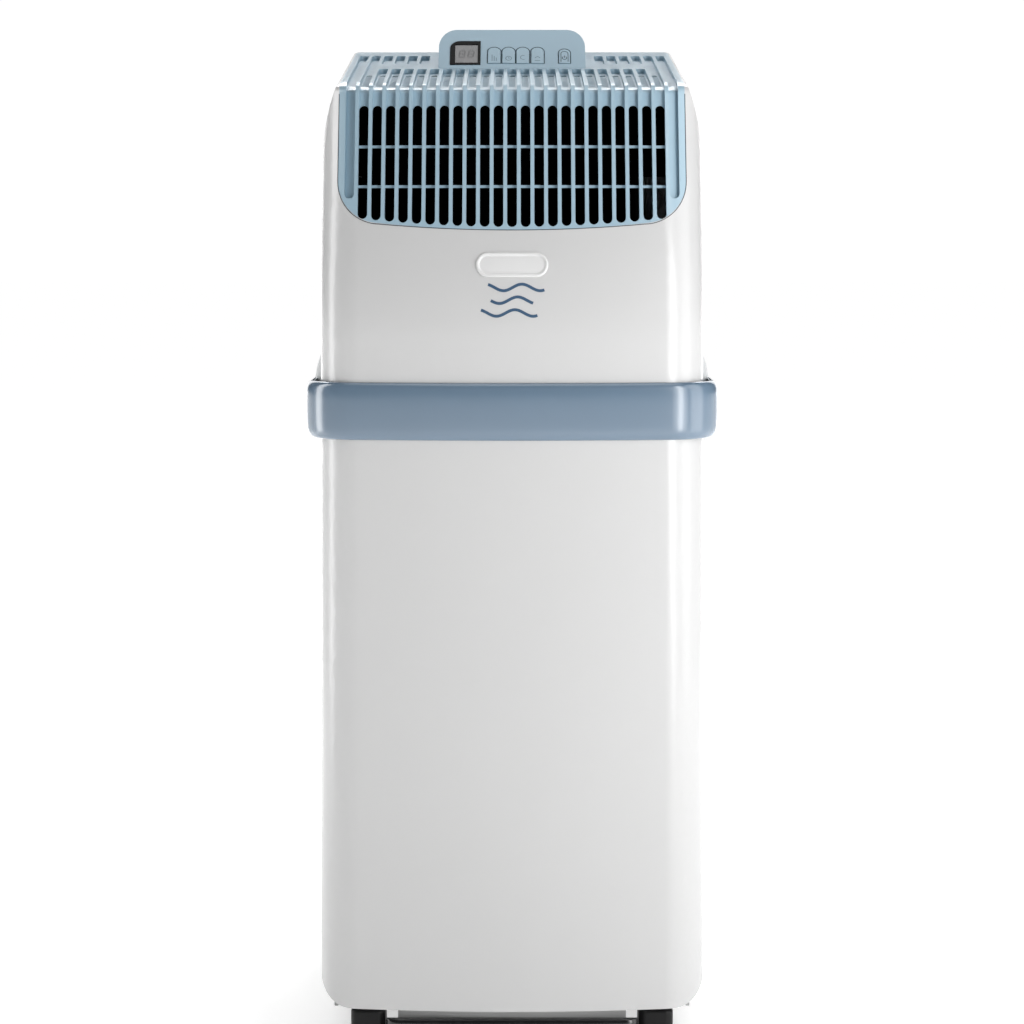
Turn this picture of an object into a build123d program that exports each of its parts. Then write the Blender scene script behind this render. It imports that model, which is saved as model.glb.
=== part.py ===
from build123d import *
import math
import os

# Portable air conditioner, millimetres. The origin is on the floor under the middle of the
# case. +Z is up, the front faces -Y and +X is the right-hand side seen from the front.

# ---- driving dimensions: case ----
CASE_FRONT = -170.0       # front face of the case, on its centre line
CASE_BACK = 160.0
HALF_BOTTOM = 140.5       # half-width at the foot
HALF_TOP = 138.0          # half-width from the shoulder up
SHOULDER_Z = 524.0        # the front leans back above this height
BOW = 800.0               # plan radius of the front
FRONT_CORNER = 34.0
BACK_CORNER = 26.0
CASE_FOOT_Z = 36.0
FOOT_ROUND = 22.0         # lower corners, seen from the front
LEAN_DEG = 20.0
LEAN_BLEND = 200.0        # radius of the blend from upright to leaning
BROW_Z = 704.0            # edge where the leaning front meets the top
BROW_SETBACK = 54.0
TOP_SLOPE_DEG = 9.35
TOP_BACK_Y = 114.0        # the sloping top ends here
TOP_BACK_ROUND = 28.0
BACK_FOOT_ROUND = 10.0
SIDE_ROUND = 150.0        # the sides curl inwards at the top
SIDE_ROUND_DROP = 57.0
TOP_EDGE = 8.0
BROW_ROUND = 9.0          # radius of the brow, seen from the side
BROW_LIFT = 0.03          # the brow's round just reaches through the sloping top
ROOF_Z = 752.0            # the loft of the case ends here, above the sloping top
WALL = 3.0
GRILLE_WALL = 6.5
SEAM_Y = 50.0             # front shell meets rear shell

# ---- driving dimensions: outlet grille and control panel ----
GRILLE_HALF = 125.3
GRILLE_FOOT_Z = 599.6
GRILLE_FOOT_RISE = 4.2    # rise of the lower edge towards the corners
GRILLE_CORNER = 31.0
GRILLE_BACK_Y = 113.0
PITCH = 9.73
SLOT_W = 7.0
SLOT_COLUMNS = 11         # slots each side of the middle one
SLOT_FOOT_Z = 601.7
SLOT_FOOT_RISE = 5.7
SLOT_TOP_Z = 689.0
TROUGH_DEPTH = 3.5
TROUGH_BACK_Y = -10.0
CROSSBAR_Z = (630.5, 659.2)
CROSSBAR_THICK = 2.0
TOP_SLOT_Y = (-98.0, -24.0)
TOP_SLOT_W = 4.6
REAR_TROUGH_Y = (25.0, 85.0)
PANEL_HALF = 56.0
PANEL_FRONT_Y = -5.0
PANEL_RIDGE_Y = 25.0
PANEL_RIDGE_Z = 753.3
PANEL_WALL = 2.5
KEY_X = (-13.6, -2.6, 8.2, 19.5)
KEY_W = 9.6
KEY_H = 17.5
POWER_KEY_X = 40.1
POWER_KEY_W = 8.5
POWER_KEY_H = 15.5
KEY_FOOT_V = 5.0          # up the panel face from its lower edge
KEY_GAP = 0.3
KEY_PROUD = 0.8
KEY_LONG = 5.6

# ---- driving dimensions: handle ----
BAND_Z = (450.3, 491.5)
BAND_HALF = 149.6
BAND_PROUD = 5.0
BAND_SIDE_THICK = 6.6
BAND_END_Y = 10.0
POCKET_Y = (-78.0, -2.0)
POCKET_Z = (426.0, 488.0)
POCKET_DEPTH = 17.0

# ---- driving dimensions: running gear ----
CASTER_X = 104.8
CASTER_FRONT_Y = -139.0
CASTER_REAR_Y = 128.0
WHEEL_R = 13.2
WHEEL_W = 19.0
HOOD = (25.4, 30.0)       # across, fore and aft
HOOD_TOP_Z = 34.0
TRAIL = 4.0
STEM_R = 4.0
SKIRT_Z = 24.0
SKIRT_INSET = 8.3
SKIRT_END_X = 83.0
SKIRT_SIDE_Y = (-112.0, 100.0)
RUN_FIT = 0.05            # radial clearance of a running shaft

# ---- driving dimensions: air and refrigerant circuits ----
COLLAR_Z = 394.0
COLLAR_R = 62.0
COLLAR_Y = (143.0, 175.0)
DIVIDER_Z = 462.0
COOL_FAN = (-20.0, 560.0)     # axis of the room-air fan: y, z
COOL_FAN_R = 46.0
COOL_FAN_X = (-112.0, 84.0)
COOL_NOSE = (-143.0, 594.0)   # front lip of the room-air fan's casing: y, z
HEAT_FAN = (26.0, 190.0)      # axis of the exhaust fan: x, z
HEAT_FAN_R = 72.0
HEAT_FAN_Y = (44.0, 84.0)
FLAP_AXIS = (-14.0, 708.5)    # hinge of the outlet flap: y, z
FLAP_HALF = 115.0
FLAP_LONG = 84.0
SLINGER = (40.0, 60.5)        # axis of the splash wheel: x, z
FILTER_HALF = 93.0
FILTER_Y = (142.0, 148.0)
FILTER_Z = (474.0, 736.0)
INTAKE_HALF = 104.0
INTAKE_Z = (470.0, 700.0)
VENT_HALF = 104.0
VENT_Z = (84.0, 296.0)
PUMP = (-62.0, -85.0)         # compressor axis: x, y
PUMP_R = 48.0
DRAIN = (-64.0, 52.0)         # x, z of the drain spout
FLOAT_PIVOT = (60.0, 62.0)    # y, z
GLAND = (96.0, 56.0)          # x, z of the cable gland
TRAY_RIM_Z = 62.0
SOCKET_TOP_Z = 54.0
SWING_R = 21.4                # room for a caster hood to turn
AXLE_R = 2.5
EAR_X = (117.5, 121.5)
FLAP_PIN_R = 3.0
PANEL_BACK_Y = 108.0
PANEL_CORNER = 14.0
BEZEL_X = (-47.4, -24.0)
BEZEL_V = (3.6, 30.0)
BEZEL_PROUD = 0.6
WINDOW_X = (-43.6, -26.0)
WINDOW_V = (5.6, 26.0)
PCB_DEPTH = 9.0
SWITCH_H = 3.0
BADGE_Z = 575.2
POCKET_WALL = 1.6
CHEEK_Y = (-84.0, 48.0)

SLOPE = math.radians(TOP_SLOPE_DEG)
BROW_Y = CASE_FRONT + BROW_SETBACK


def block(x, y, z):
    """Box between pairs of limits."""
    size = (x[1] - x[0], y[1] - y[0], z[1] - z[0])
    middle = ((x[0] + x[1]) / 2, (y[0] + y[1]) / 2, (z[0] + z[1]) / 2)
    return Pos(*middle) * Box(*size)


def rod_z(r, x, y, z):
    return Pos(x, y, z[0]) * extrude(Circle(r), z[1] - z[0])


def rod_x(r, x, y, z):
    return Pos(x[0], y, z) * Rot(0, 90, 0) * extrude(Circle(r), x[1] - x[0])


def rod_y(r, x, y, z):
    return Pos(x, y[1], z) * Rot(90, 0, 0) * extrude(Circle(r), y[1] - y[0])


def top_z(y):
    """Height of the sloping top above the point y."""
    return BROW_Z + (y - BROW_Y) * math.tan(SLOPE)


def fuse(parts):
    parts = list(parts)
    return parts[0].fuse(*parts[1:]) if len(parts) > 1 else parts[0]


# ---- the case ----
def plan(half, front, inset=0.0, corner=FRONT_CORNER):
    """Outline of the case seen from above: bowed front, rounded corners."""
    w = half - inset
    bow = BOW - inset
    y0 = front + inset
    y1 = y0 + bow - math.sqrt(bow ** 2 - w ** 2)
    with BuildSketch() as sk:
        with BuildLine():
            ThreePointArc((-w, y1), (0, y0), (w, y1))
            Polyline((w, y1), (w, CASE_BACK - inset), (-w, CASE_BACK - inset), (-w, y1))
        make_face()
        by_y = sk.vertices().sort_by(Axis.Y)
        fillet(by_y[:2], corner - inset)
        fillet(sk.vertices().sort_by(Axis.Y)[-2:], BACK_CORNER - inset)
    return sk.sketch


def half_width(z):
    """Half-width of the case at height z."""
    k = min(max((z - CASE_FOOT_Z) / (SHOULDER_Z - CASE_FOOT_Z), 0), 1)
    return HALF_BOTTOM + (HALF_TOP - HALF_BOTTOM) * k


def front_profile(inset):
    """Heights and setbacks of the front above the shoulder: blend, lean and rounded brow."""
    lean = math.radians(LEAN_DEG)
    steps = 10
    points = []
    for i in range(1, steps + 1):
        a = lean * i / steps
        points.append((SHOULDER_Z + LEAN_BLEND * math.sin(a), LEAN_BLEND * (1 - math.cos(a))))
    # the brow is rounded by a circle that touches the leaning front and just cuts the top
    r = BROW_ROUND - inset
    z0, back0 = points[-1]
    up, along = math.tan(lean), math.tan(SLOPE)
    nose_back = (back0 + (BROW_Z - BROW_SETBACK * along - z0) * up) / (1 - along * up)
    nose_z = z0 + (nose_back - back0) / up
    turn = math.pi / 2 - lean - SLOPE
    brow_steps = 6
    reach = BROW_ROUND * math.tan(turn / 2)
    centre_z = nose_z - reach * math.cos(lean) - BROW_ROUND * math.sin(lean) + BROW_LIFT
    centre_back = nose_back - reach * math.sin(lean) + BROW_ROUND * math.cos(lean) - inset
    for i in range(brow_steps + 1):
        a = lean + turn * i / brow_steps
        points.append((centre_z + r * math.sin(a), centre_back - r * math.cos(a)))
    z1, back1 = points[-1]
    points.append((ROOF_Z, back1 + (ROOF_Z - z1) / math.tan(math.radians(24.0))))
    return points


def envelope(inset=0.0):
    """The case as a solid, every face moved inwards by inset."""
    sections = [(CASE_FOOT_Z + min(inset, 0), HALF_BOTTOM, 0.0), (SHOULDER_Z, HALF_TOP, 0.0)]
    sections += [(z, HALF_TOP, back) for z, back in front_profile(inset)]
    column = loft([Pos(0, 0, z) * plan(w, CASE_FRONT + b, inset) for z, w, b in sections],
                  ruled=True)
    far = CASE_FRONT - 60
    back_z = top_z(TOP_BACK_Y)
    with BuildSketch(Plane.YZ) as side:
        with BuildLine():
            Polyline((far, CASE_FOOT_Z + inset), (far, back_z - inset),
                     (CASE_BACK - inset, back_z - inset),
                     (CASE_BACK - inset, CASE_FOOT_Z + inset), (far, CASE_FOOT_Z + inset))
        make_face()
        rear = [v for v in side.vertices() if v.X > 0 and v.Y > 500]
        fillet(rear, TOP_BACK_ROUND - inset)
        foot = [v for v in side.vertices() if v.X > 0 and v.Y < 500]
        fillet(foot, BACK_FOOT_ROUND - inset)
    solid = column & extrude(side.sketch, 200, both=True)
    slack = 0.6
    with BuildSketch(Plane.XZ) as face:
        with Locations((0, CASE_FOOT_Z + inset + 500)):
            Rectangle(2 * (HALF_BOTTOM - inset + slack), 1000)
        low = face.vertices().sort_by(Axis.Y)[:2]
        fillet(low, FOOT_ROUND - inset + slack)
    solid = solid & extrude(face.sketch, 300, both=True)
    return solid & brow_prism(inset)


def brow_prism(inset):
    """Prism along the sloping top: level across, rounded edges, sides curling inwards."""
    across = Plane(origin=(0, BROW_Y, BROW_Z), x_dir=(1, 0, 0),
                   z_dir=(0, -math.cos(SLOPE), -math.sin(SLOPE)))
    slack = 0.1
    r = SIDE_ROUND - inset + slack
    w = HALF_TOP - inset + slack
    centre = HALF_TOP - SIDE_ROUND

    def reach(h):
        return centre + math.sqrt(r ** 2 - (SIDE_ROUND_DROP + h) ** 2)

    with BuildSketch(across) as sk:
        with BuildLine():
            Polyline((-200, -900), (200, -900), (200, -SIDE_ROUND_DROP), (w, -SIDE_ROUND_DROP))
            ThreePointArc((w, -SIDE_ROUND_DROP), (reach(-30), -30), (reach(-inset), -inset))
            Line((reach(-inset), -inset), (-reach(-inset), -inset))
            ThreePointArc((-reach(-inset), -inset), (-reach(-30), -30), (-w, -SIDE_ROUND_DROP))
            Polyline((-w, -SIDE_ROUND_DROP), (-200, -SIDE_ROUND_DROP), (-200, -900))
        make_face()
        top = sk.vertices().sort_by(Axis.Y)[-2:]
        fillet(top, max(TOP_EDGE - inset, 1.0))
    return extrude(sk.sketch, 500, both=True)


def grille_prism():
    """Front outline of the outlet grille, carried back over the top of the case."""
    w, z0, rise = GRILLE_HALF, GRILLE_FOOT_Z, GRILLE_FOOT_RISE
    with BuildSketch(Plane.XZ) as sk:
        with BuildLine():
            ThreePointArc((-w, z0 + 2 * rise), (0, z0), (w, z0 + 2 * rise))
            Polyline((w, z0 + 2 * rise), (w, 780), (-w, 780), (-w, z0 + 2 * rise))
        make_face()
        fillet(sk.vertices().sort_by(Axis.Y)[:2], GRILLE_CORNER)
    return Pos(0, GRILLE_BACK_Y, 0) * extrude(sk.sketch, 320)


def slot_foot(x):
    return SLOT_FOOT_Z + SLOT_FOOT_RISE * (x / 107.0) ** 2


def trough_tool():
    """Round-ended channels that run up the front and back over the top."""
    r = SLOT_W / 2
    cuts = []
    for k in range(-SLOT_COLUMNS - 1, SLOT_COLUMNS + 2):
        x = k * PITCH
        foot = slot_foot(x) if abs(k) <= SLOT_COLUMNS else 622.0
        back = TROUGH_BACK_Y if abs(k) < SLOT_COLUMNS else REAR_TROUGH_Y[1]
        cuts.append(block((x - r, x + r), (-200, back - r), (foot + r, 760)))
        cuts.append(rod_y(r, x, (-200, -120), foot + r))
        cuts.append(rod_z(r, x, back - r, (700, 760)))
        if PANEL_HALF + r < abs(x) and abs(k) < SLOT_COLUMNS:
            y0, y1 = REAR_TROUGH_Y
            cuts.append(block((x - r, x + r), (y0 + r, y1 - r), (700, 760)))
            cuts += [rod_z(r, x, y, (700, 760)) for y in (y0 + r, y1 - r)]
    return cuts


def slot_tool():
    """Openings: three rows down the front and one row over the top."""
    r = SLOT_W / 2
    cuts = []
    for k in range(-SLOT_COLUMNS, SLOT_COLUMNS + 1):
        x = k * PITCH
        foot = slot_foot(x) + r
        cuts.append(block((x - r, x + r), (-200, -100), (foot, SLOT_TOP_Z - r)))
        cuts += [rod_y(r, x, (-200, -100), z) for z in (foot, SLOT_TOP_Z - r)]
        t = TOP_SLOT_W / 2
        y0, y1 = TOP_SLOT_Y
        cuts.append(block((x - t, x + t), (y0 + t, y1 - t), (692, 760)))
        cuts += [rod_z(t, x, y, (692, 760)) for y in (y0 + t, y1 - t)]
    return cuts


def crossbars(outer_skin, inner_skin):
    """Thin level bars behind the ribs."""
    bars = [block((-111, 111), (-200, -90), (z - CROSSBAR_THICK / 2, z + CROSSBAR_THICK / 2))
            for z in CROSSBAR_Z]
    return (outer_skin & fuse(bars)) - inner_skin


def pivot_ears():
    """Two ears under the grille that carry the flap's pins."""
    y, z = FLAP_AXIS
    ears = []
    for x in (-EAR_X[1], EAR_X[0]):
        ear = block((x, x + EAR_X[1] - EAR_X[0]), (y - 6, y + 6), (z - 6, top_z(y) - 5))
        ears.append(ear - rod_x(FLAP_PIN_R + RUN_FIT, (x - 1, x + 9), y, z))
    return ears


def panel_opening():
    """Room under the control panel for its circuit board."""
    return block((-52, 52), (-1, 92), (690, 780))


def top_grille(skin, grille_inner, trough_floor):
    grille = (skin - grille_inner) & grille_prism()
    grille -= fuse(trough_tool()) - trough_floor
    grille = grille.cut(*slot_tool())
    bars = crossbars(envelope(TROUGH_DEPTH + 0.5), grille_inner)
    grille = grille.fuse(bars, *pivot_ears())
    return grille - panel_opening()


def pockets(grow=0.0):
    """Finger pockets in both sides of the case, behind the handle."""
    y, z = POCKET_Y, POCKET_Z
    reach = half_width(z[0]) - POCKET_DEPTH - grow
    pocket = Rot(0, 90, 0) * extrude(RectangleRounded(z[1] - z[0] + 2 * grow,
                                                      y[1] - y[0] + 2 * grow, 12 + grow), 60)
    pocket = Pos(reach, (y[0] + y[1]) / 2, (z[0] + z[1]) / 2) * pocket
    return [pocket, mirror(pocket, about=Plane.YZ)]


def rear_openings():
    """Holes through the back of the case."""
    holes = [block((-INTAKE_HALF, INTAKE_HALF), (150, 170), INTAKE_Z),
             block((-VENT_HALF, VENT_HALF), (150, 170), VENT_Z),
             rod_y(COLLAR_R + 4.2, 0, (140, 170), COLLAR_Z),
             rod_y(9.0, DRAIN[0], (140, 170), DRAIN[1]),
             rod_y(8.0, GLAND[0], (140, 170), GLAND[1]),
             block((-FILTER_HALF - 1, FILTER_HALF + 1), (FILTER_Y[0] - 1, FILTER_Y[1] + 1),
                   (690, 760))]
    return holes


def case_shell(skin, lining):
    """White skin of the case, cut for everything that shows through it."""
    foot = extrude(plan(HALF_BOTTOM, CASE_FRONT, SKIRT_INSET), 44)
    shell = (skin - lining) - grille_prism() - foot
    return shell.cut(*pockets(grow=POCKET_WALL), *rear_openings())


def front_shell(shell):
    return shell & block((-200, 200), (-300, SEAM_Y), (0, 800))


def rear_shell(shell):
    return shell & block((-200, 200), (SEAM_Y, 300), (0, 800))


def handle_pockets(skin):
    """Moulded cups that line the two finger pockets."""
    pairs = zip(pockets(grow=POCKET_WALL), pockets())
    return Compound([(outer & skin) - inner for outer, inner in pairs])


def base_tray():
    """Chassis: floor with a basin, caster sockets and a broken skirt below."""
    foot = plan(HALF_BOTTOM, CASE_FRONT, SKIRT_INSET)
    tub = envelope(WALL + 0.3) & block((-200, 200), (-300, 300), (30, TRAY_RIM_Z))
    tub -= envelope(WALL + 3.0) & block((-200, 200), (-300, 300), (42, 200))
    tray = tub + Pos(0, 0, CASE_FOOT_Z) * extrude(foot, 4)
    for x, y in caster_places():
        tray += rod_z(9.0, x, y, (41, SOCKET_TOP_Z))
        tray -= rod_z(STEM_R + RUN_FIT, x, y, (0, SOCKET_TOP_Z - 2))
    for x, y in pump_feet():
        tray += rod_z(6.0, x, y, (41, 48))
        tray += rod_z(2.5, x, y, (47, 66))
    tray += block((-115, 115), (112, 116), (41, 66))
    tray -= rod_y(8.2, DRAIN[0], (130, 170), DRAIN[1])
    tray -= rod_y(8.2, GLAND[0], (130, 170), GLAND[1])
    return Compound([*tray.solids(), *skirt_walls(foot)])


def skirt_walls(foot):
    """Recessed walls under the tray: front, back and sides, with gaps where the casters turn."""
    height = CASE_FOOT_Z - SKIRT_Z
    inner = plan(HALF_BOTTOM, CASE_FRONT, SKIRT_INSET + 3)
    ring = Pos(0, 0, SKIRT_Z) * (extrude(foot, height) - extrude(inner, height))
    ends = ring & block((-SKIRT_END_X, SKIRT_END_X), (-200, 200), (0, 60))
    sides = ring & block((-200, 200), SKIRT_SIDE_Y, (0, 60))
    return [*ends.solids(), *sides.solids()]


def caster_places():
    return [(sx * CASTER_X, y) for y in (CASTER_FRONT_Y, CASTER_REAR_Y) for sx in (-1, 1)]


def caster_hood(x, y):
    """Swivelling hood with its stem; the wheel sits forward of the stem by the trail."""
    across, long = HOOD
    yc = y - TRAIL
    hood = extrude(RectangleRounded(across, long, 6.0), HOOD_TOP_Z - 9)
    hood = Pos(x, yc, 9) * hood
    hood = fillet(hood.edges().group_by(Axis.Z)[-1], 2.5)
    hood -= block((x - WHEEL_W / 2 - 0.4, x + WHEEL_W / 2 + 0.4), (yc - 13.8, yc + 13.8), (0, 29))
    hood -= block((x - 9.9, x + 9.9), (yc - 16, yc + 16), (0, 17))
    pivot = rod_z(STEM_R, x, y, (HOOD_TOP_Z - 3, SOCKET_TOP_Z - 4))
    axle = rod_x(AXLE_R, (x - 11.5, x + 11.5), yc, WHEEL_R)
    return hood + pivot + axle


def caster_wheel(x, y):
    """Twin-tread wheel that runs on the hood's axle."""
    yc = y - TRAIL
    half = WHEEL_W / 2
    with BuildSketch(Plane.XZ) as sk:
        with BuildLine():
            Polyline((-half, AXLE_R + RUN_FIT), (half, AXLE_R + RUN_FIT),
                     (half, 5.5), (half - 2, 6.5), (half - 2, 10.2), (half, 11.0),
                     (half, WHEEL_R - 1.5), (half - 1.5, WHEEL_R), (2.6, WHEEL_R),
                     (1.2, WHEEL_R - 2), (-1.2, WHEEL_R - 2), (-2.6, WHEEL_R),
                     (-half + 1.5, WHEEL_R), (-half, WHEEL_R - 1.5), (-half, 11.0),
                     (-half + 2, 10.2), (-half + 2, 6.5), (-half, 5.5),
                     (-half, AXLE_R + RUN_FIT))
        make_face()
    return Pos(x, yc, WHEEL_R) * revolve(sk.sketch, Axis.X)


def cross_member(y, front):
    """Black beam under the tray that ties a pair of casters together."""
    face = Pos(0, 0, 11) * extrude(plan(HALF_BOTTOM, CASE_FRONT, 11.0), SKIRT_Z - 11)
    beam = face & block((-82, 82), y, (0, 40))
    beam = beam.cut(*[rod_z(SWING_R + 1, sx * CASTER_X, front, (0, 40)) for sx in (-1, 1)])
    return fillet(beam.edges().filter_by(Axis.Z, reverse=True).group_by(Axis.Z)[0], 2.0)


# ---- handle ----
def handle_band():
    """Band across the front that runs back along both sides to the cheeks."""
    z0, z1 = BAND_Z
    front = CASE_FRONT - BAND_PROUD
    outer = extrude(plan(BAND_HALF, front, 0.0, corner=42.0), z1 - z0)
    outer &= block((-200, 200), (-300, BAND_END_Y), (-10, 60))
    rims = [e for f in (outer.faces().sort_by(Axis.Z)[0], outer.faces().sort_by(Axis.Z)[-1])
            for e in f.edges() if e.center().Y < BAND_END_Y - 0.5]
    outer = fillet(rims, 5.0)
    hollow = extrude(plan(BAND_HALF - BAND_SIDE_THICK, CASE_FRONT), 60)
    return Pos(0, 0, z0) * (outer - Pos(0, 0, -5) * hollow)


def handle_cheek(sign, skin):
    """White fairing on the side of the case: a shelf above the band and a block behind it."""
    z0, z1 = BAND_Z

    def wedge(points, y):
        with BuildSketch(Plane.XZ) as sk:
            with BuildLine():
                Polyline(*[(sign * px, pz) for px, pz in points],
                         (sign * points[0][0], points[0][1]))
            make_face()
        return Pos(0, y[1], 0) * extrude(sk.sketch, y[1] - y[0])

    shelf = wedge([(130, z1 + 0.3), (147.6, z1 + 0.3), (148.2, z1 + 2.5), (138.0, z1 + 22),
                   (130, z1 + 22)], CHEEK_Y)
    heel = wedge([(130, z0 + 1), (145.5, z0 + 1), (148.6, z0 + 12), (148.6, z1 - 8),
                  (147.6, z1 + 0.3), (130, z1 + 0.3)], (BAND_END_Y + 0.3, CHEEK_Y[1]))
    return (shelf + heel) - skin


# ---- control panel ----
def panel_plane():
    """Plane of the sloping panel face: origin at its lower edge, x right, y up the face."""
    dy = PANEL_RIDGE_Y - PANEL_FRONT_Y
    dz = PANEL_RIDGE_Z - top_z(PANEL_FRONT_Y)
    n = math.hypot(dy, dz)
    return Plane(origin=(0, PANEL_FRONT_Y, top_z(PANEL_FRONT_Y)), x_dir=(1, 0, 0),
                 z_dir=(0, -dz / n, dy / n))


def on_panel(sketch, low, high):
    """Prism of a sketch on the panel face, from low to high above the face."""
    return panel_plane() * Pos(0, 0, low) * extrude(sketch, high - low)


def panel_wedge(inset):
    """Wedge of the control panel: steep front, gently falling back."""
    y0 = PANEL_FRONT_Y - 1.0
    slope_up = (PANEL_RIDGE_Z - top_z(PANEL_FRONT_Y)) / (PANEL_RIDGE_Y - PANEL_FRONT_Y)
    with BuildSketch(Plane.YZ) as sk:
        with BuildLine():
            Polyline((y0, top_z(PANEL_FRONT_Y) - slope_up), (PANEL_RIDGE_Y, PANEL_RIDGE_Z),
                     (PANEL_BACK_Y, top_z(PANEL_BACK_Y) + 1.2), (PANEL_BACK_Y, 712),
                     (y0, 712), (y0, top_z(PANEL_FRONT_Y) - slope_up))
        make_face()
    profile = sk.sketch if inset == 0 else offset(sk.sketch, -inset)
    w = PANEL_HALF - inset
    solid = extrude(profile, w, both=True)
    with BuildSketch(Plane.XZ) as front:
        with Locations((0, PANEL_RIDGE_Z - inset - 50)):
            Rectangle(2 * w, 100)
        fillet(front.vertices().sort_by(Axis.Y)[-2:], PANEL_CORNER - inset)
    return solid & extrude(front.sketch, 400, both=True)


def key_sketch(x, w, h, grow=0.0):
    """Arch-shaped key: square foot, round top."""
    r = w / 2 + grow
    foot = Pos(x, KEY_FOOT_V + (h - w / 2) / 2) * Rectangle(2 * r, h - w / 2 + 2 * grow)
    return foot + Pos(x, KEY_FOOT_V + h - w / 2) * Circle(r)


def keys():
    """Name, x, width and height of every key."""
    row = [(f"button_{i + 1}", x, KEY_W, KEY_H) for i, x in enumerate(KEY_X)]
    return row + [("button_power", POWER_KEY_X, POWER_KEY_W, POWER_KEY_H)]


def bezel_sketch(grow=0.0):
    x0, x1 = BEZEL_X
    v0, v1 = BEZEL_V
    with BuildSketch() as sk:
        with Locations(((x0 + x1) / 2, (v0 + v1) / 2)):
            Rectangle(x1 - x0 + 2 * grow, v1 - v0 + 2 * grow)
        corner = sk.vertices().sort_by(lambda v: v.X - v.Y)[0]
        fillet(corner, 8.0)
    return sk.sketch


def window_sketch():
    x0, x1 = WINDOW_X
    v0, v1 = WINDOW_V
    return Pos((x0 + x1) / 2, (v0 + v1) / 2) * Rectangle(x1 - x0, v1 - v0)


def control_housing(skin):
    shell = panel_wedge(0.0) - panel_wedge(PANEL_WALL) - skin
    cuts = [on_panel(key_sketch(x, w, h, KEY_GAP), -6, 6) for _, x, w, h in keys()]
    cuts.append(on_panel(bezel_sketch(), -6, 6))
    return shell.cut(*cuts)


def display_bezel():
    frame = on_panel(bezel_sketch(), -PANEL_WALL, BEZEL_PROUD)
    return frame - on_panel(window_sketch(), -6, 6)


def display_window():
    return on_panel(window_sketch(), -PANEL_WALL + 0.5, BEZEL_PROUD - 0.6)


def button(x, w, h):
    cap = on_panel(key_sketch(x, w, h), -KEY_LONG + KEY_PROUD, KEY_PROUD)
    cap = fillet(cap.faces().sort_by(Axis((0, 0, 0), panel_plane().z_dir))[-1].edges(), 0.4)
    return cap


def control_pcb():
    """Circuit board under the panel face, with its display module and key switches."""
    top = -PCB_DEPTH
    board = on_panel(Pos(0, 17.0) * Rectangle(98, 26), top - 1.6, top)
    chips = [on_panel(Pos(x, 12) * Rectangle(6, 6), top, top + SWITCH_H)
             for x in (*KEY_X, POWER_KEY_X)]
    module = on_panel(Pos(sum(WINDOW_X) / 2, sum(WINDOW_V) / 2) * Rectangle(16, 16), top, top + 4.0)
    return board.fuse(module, *chips)


# ---- trim ----
def badge(skin):
    """Blank pill-shaped badge that follows the bow of the front."""
    pill = Pos(0, -100, BADGE_Z) * Rot(90, 0, 0) * extrude(SlotOverall(51.4, 17.6), 100)
    return (pill & envelope(-1.2)) - skin


def louvre_panel(half, z, y, pitch, thick, lean):
    """Framed panel of sloping louvre blades."""
    z0, z1 = z
    frame = block((-half, half), y, z) - block((-half + 6, half - 6), (y[0] - 1, y[1] + 1),
                                               (z0 + 6, z1 - 6))
    posts = [block((x - 1.2, x + 1.2), (y[0], y[1] - 1.5), (z0 + 5, z1 - 5))
             for x in (-half / 3, half / 3)]
    count = int((z1 - z0 - 16) / pitch)
    start = (z0 + z1) / 2 - (count - 1) * pitch / 2
    blades = []
    for i in range(count):
        blade = Rot(lean, 0, 0) * Box(2 * half - 11, y[1] - y[0] + 1.0, thick)
        blades.append(Pos(0, (y[0] + y[1]) / 2, start + i * pitch) * blade)
    panel = frame.fuse(*posts, *blades)
    return panel & block((-half, half), y, z)


def exhaust_collar():
    """Round outlet for the exhaust hose, with three bayonet lugs and a flange."""
    y0, y1 = COLLAR_Y
    ring = rod_y(COLLAR_R + 4, 0, (y0, y1), COLLAR_Z)
    flange = rod_y(COLLAR_R + 13, 0, (CASE_BACK, CASE_BACK + 3), COLLAR_Z)
    flange = fillet(flange.edges().sort_by(Axis.Y)[-1], 1.5)
    lugs = []
    for a in (30, 150, 270):
        lug = Pos(COLLAR_R + 3, 0, 0) * Box(8, 5, 16)
        lugs.append(Pos(0, y1 - 6, COLLAR_Z) * Rot(0, a, 0) * lug)
    collar = ring.fuse(flange, *lugs)
    return collar - rod_y(COLLAR_R, 0, (y0 - 1, y1 + 1), COLLAR_Z)


def drain_spout():
    y = (151.0, 171.0)
    spout = rod_y(8.0, DRAIN[0], y, DRAIN[1]) + rod_y(11.0, DRAIN[0], (160.0, 162.0), DRAIN[1])
    return spout - rod_y(5.0, DRAIN[0], (y[0] - 1, y[1] + 1), DRAIN[1])


def drain_plug():
    """Rubber plug pushed into the spout, with a pull tab."""
    x, z = DRAIN
    stem = rod_y(5.0 - RUN_FIT, x, (156.0, 171.3), z)
    cap = rod_y(8.6, x, (171.3, 174.0), z)
    tab = block((x - 2.5, x + 2.5), (171.3, 174.0), (z - 16, z))
    return stem + cap + tab


def cord_gland():
    x, z = GLAND
    body = rod_y(7.8, x, (152.0, 160.0), z) + rod_y(11.0, x, (160.0, 163.0), z)
    body += rod_y(6.5, x, (163.0, 172.0), z)
    return body - rod_y(3.6, x, (150.0, 173.0), z)


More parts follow.
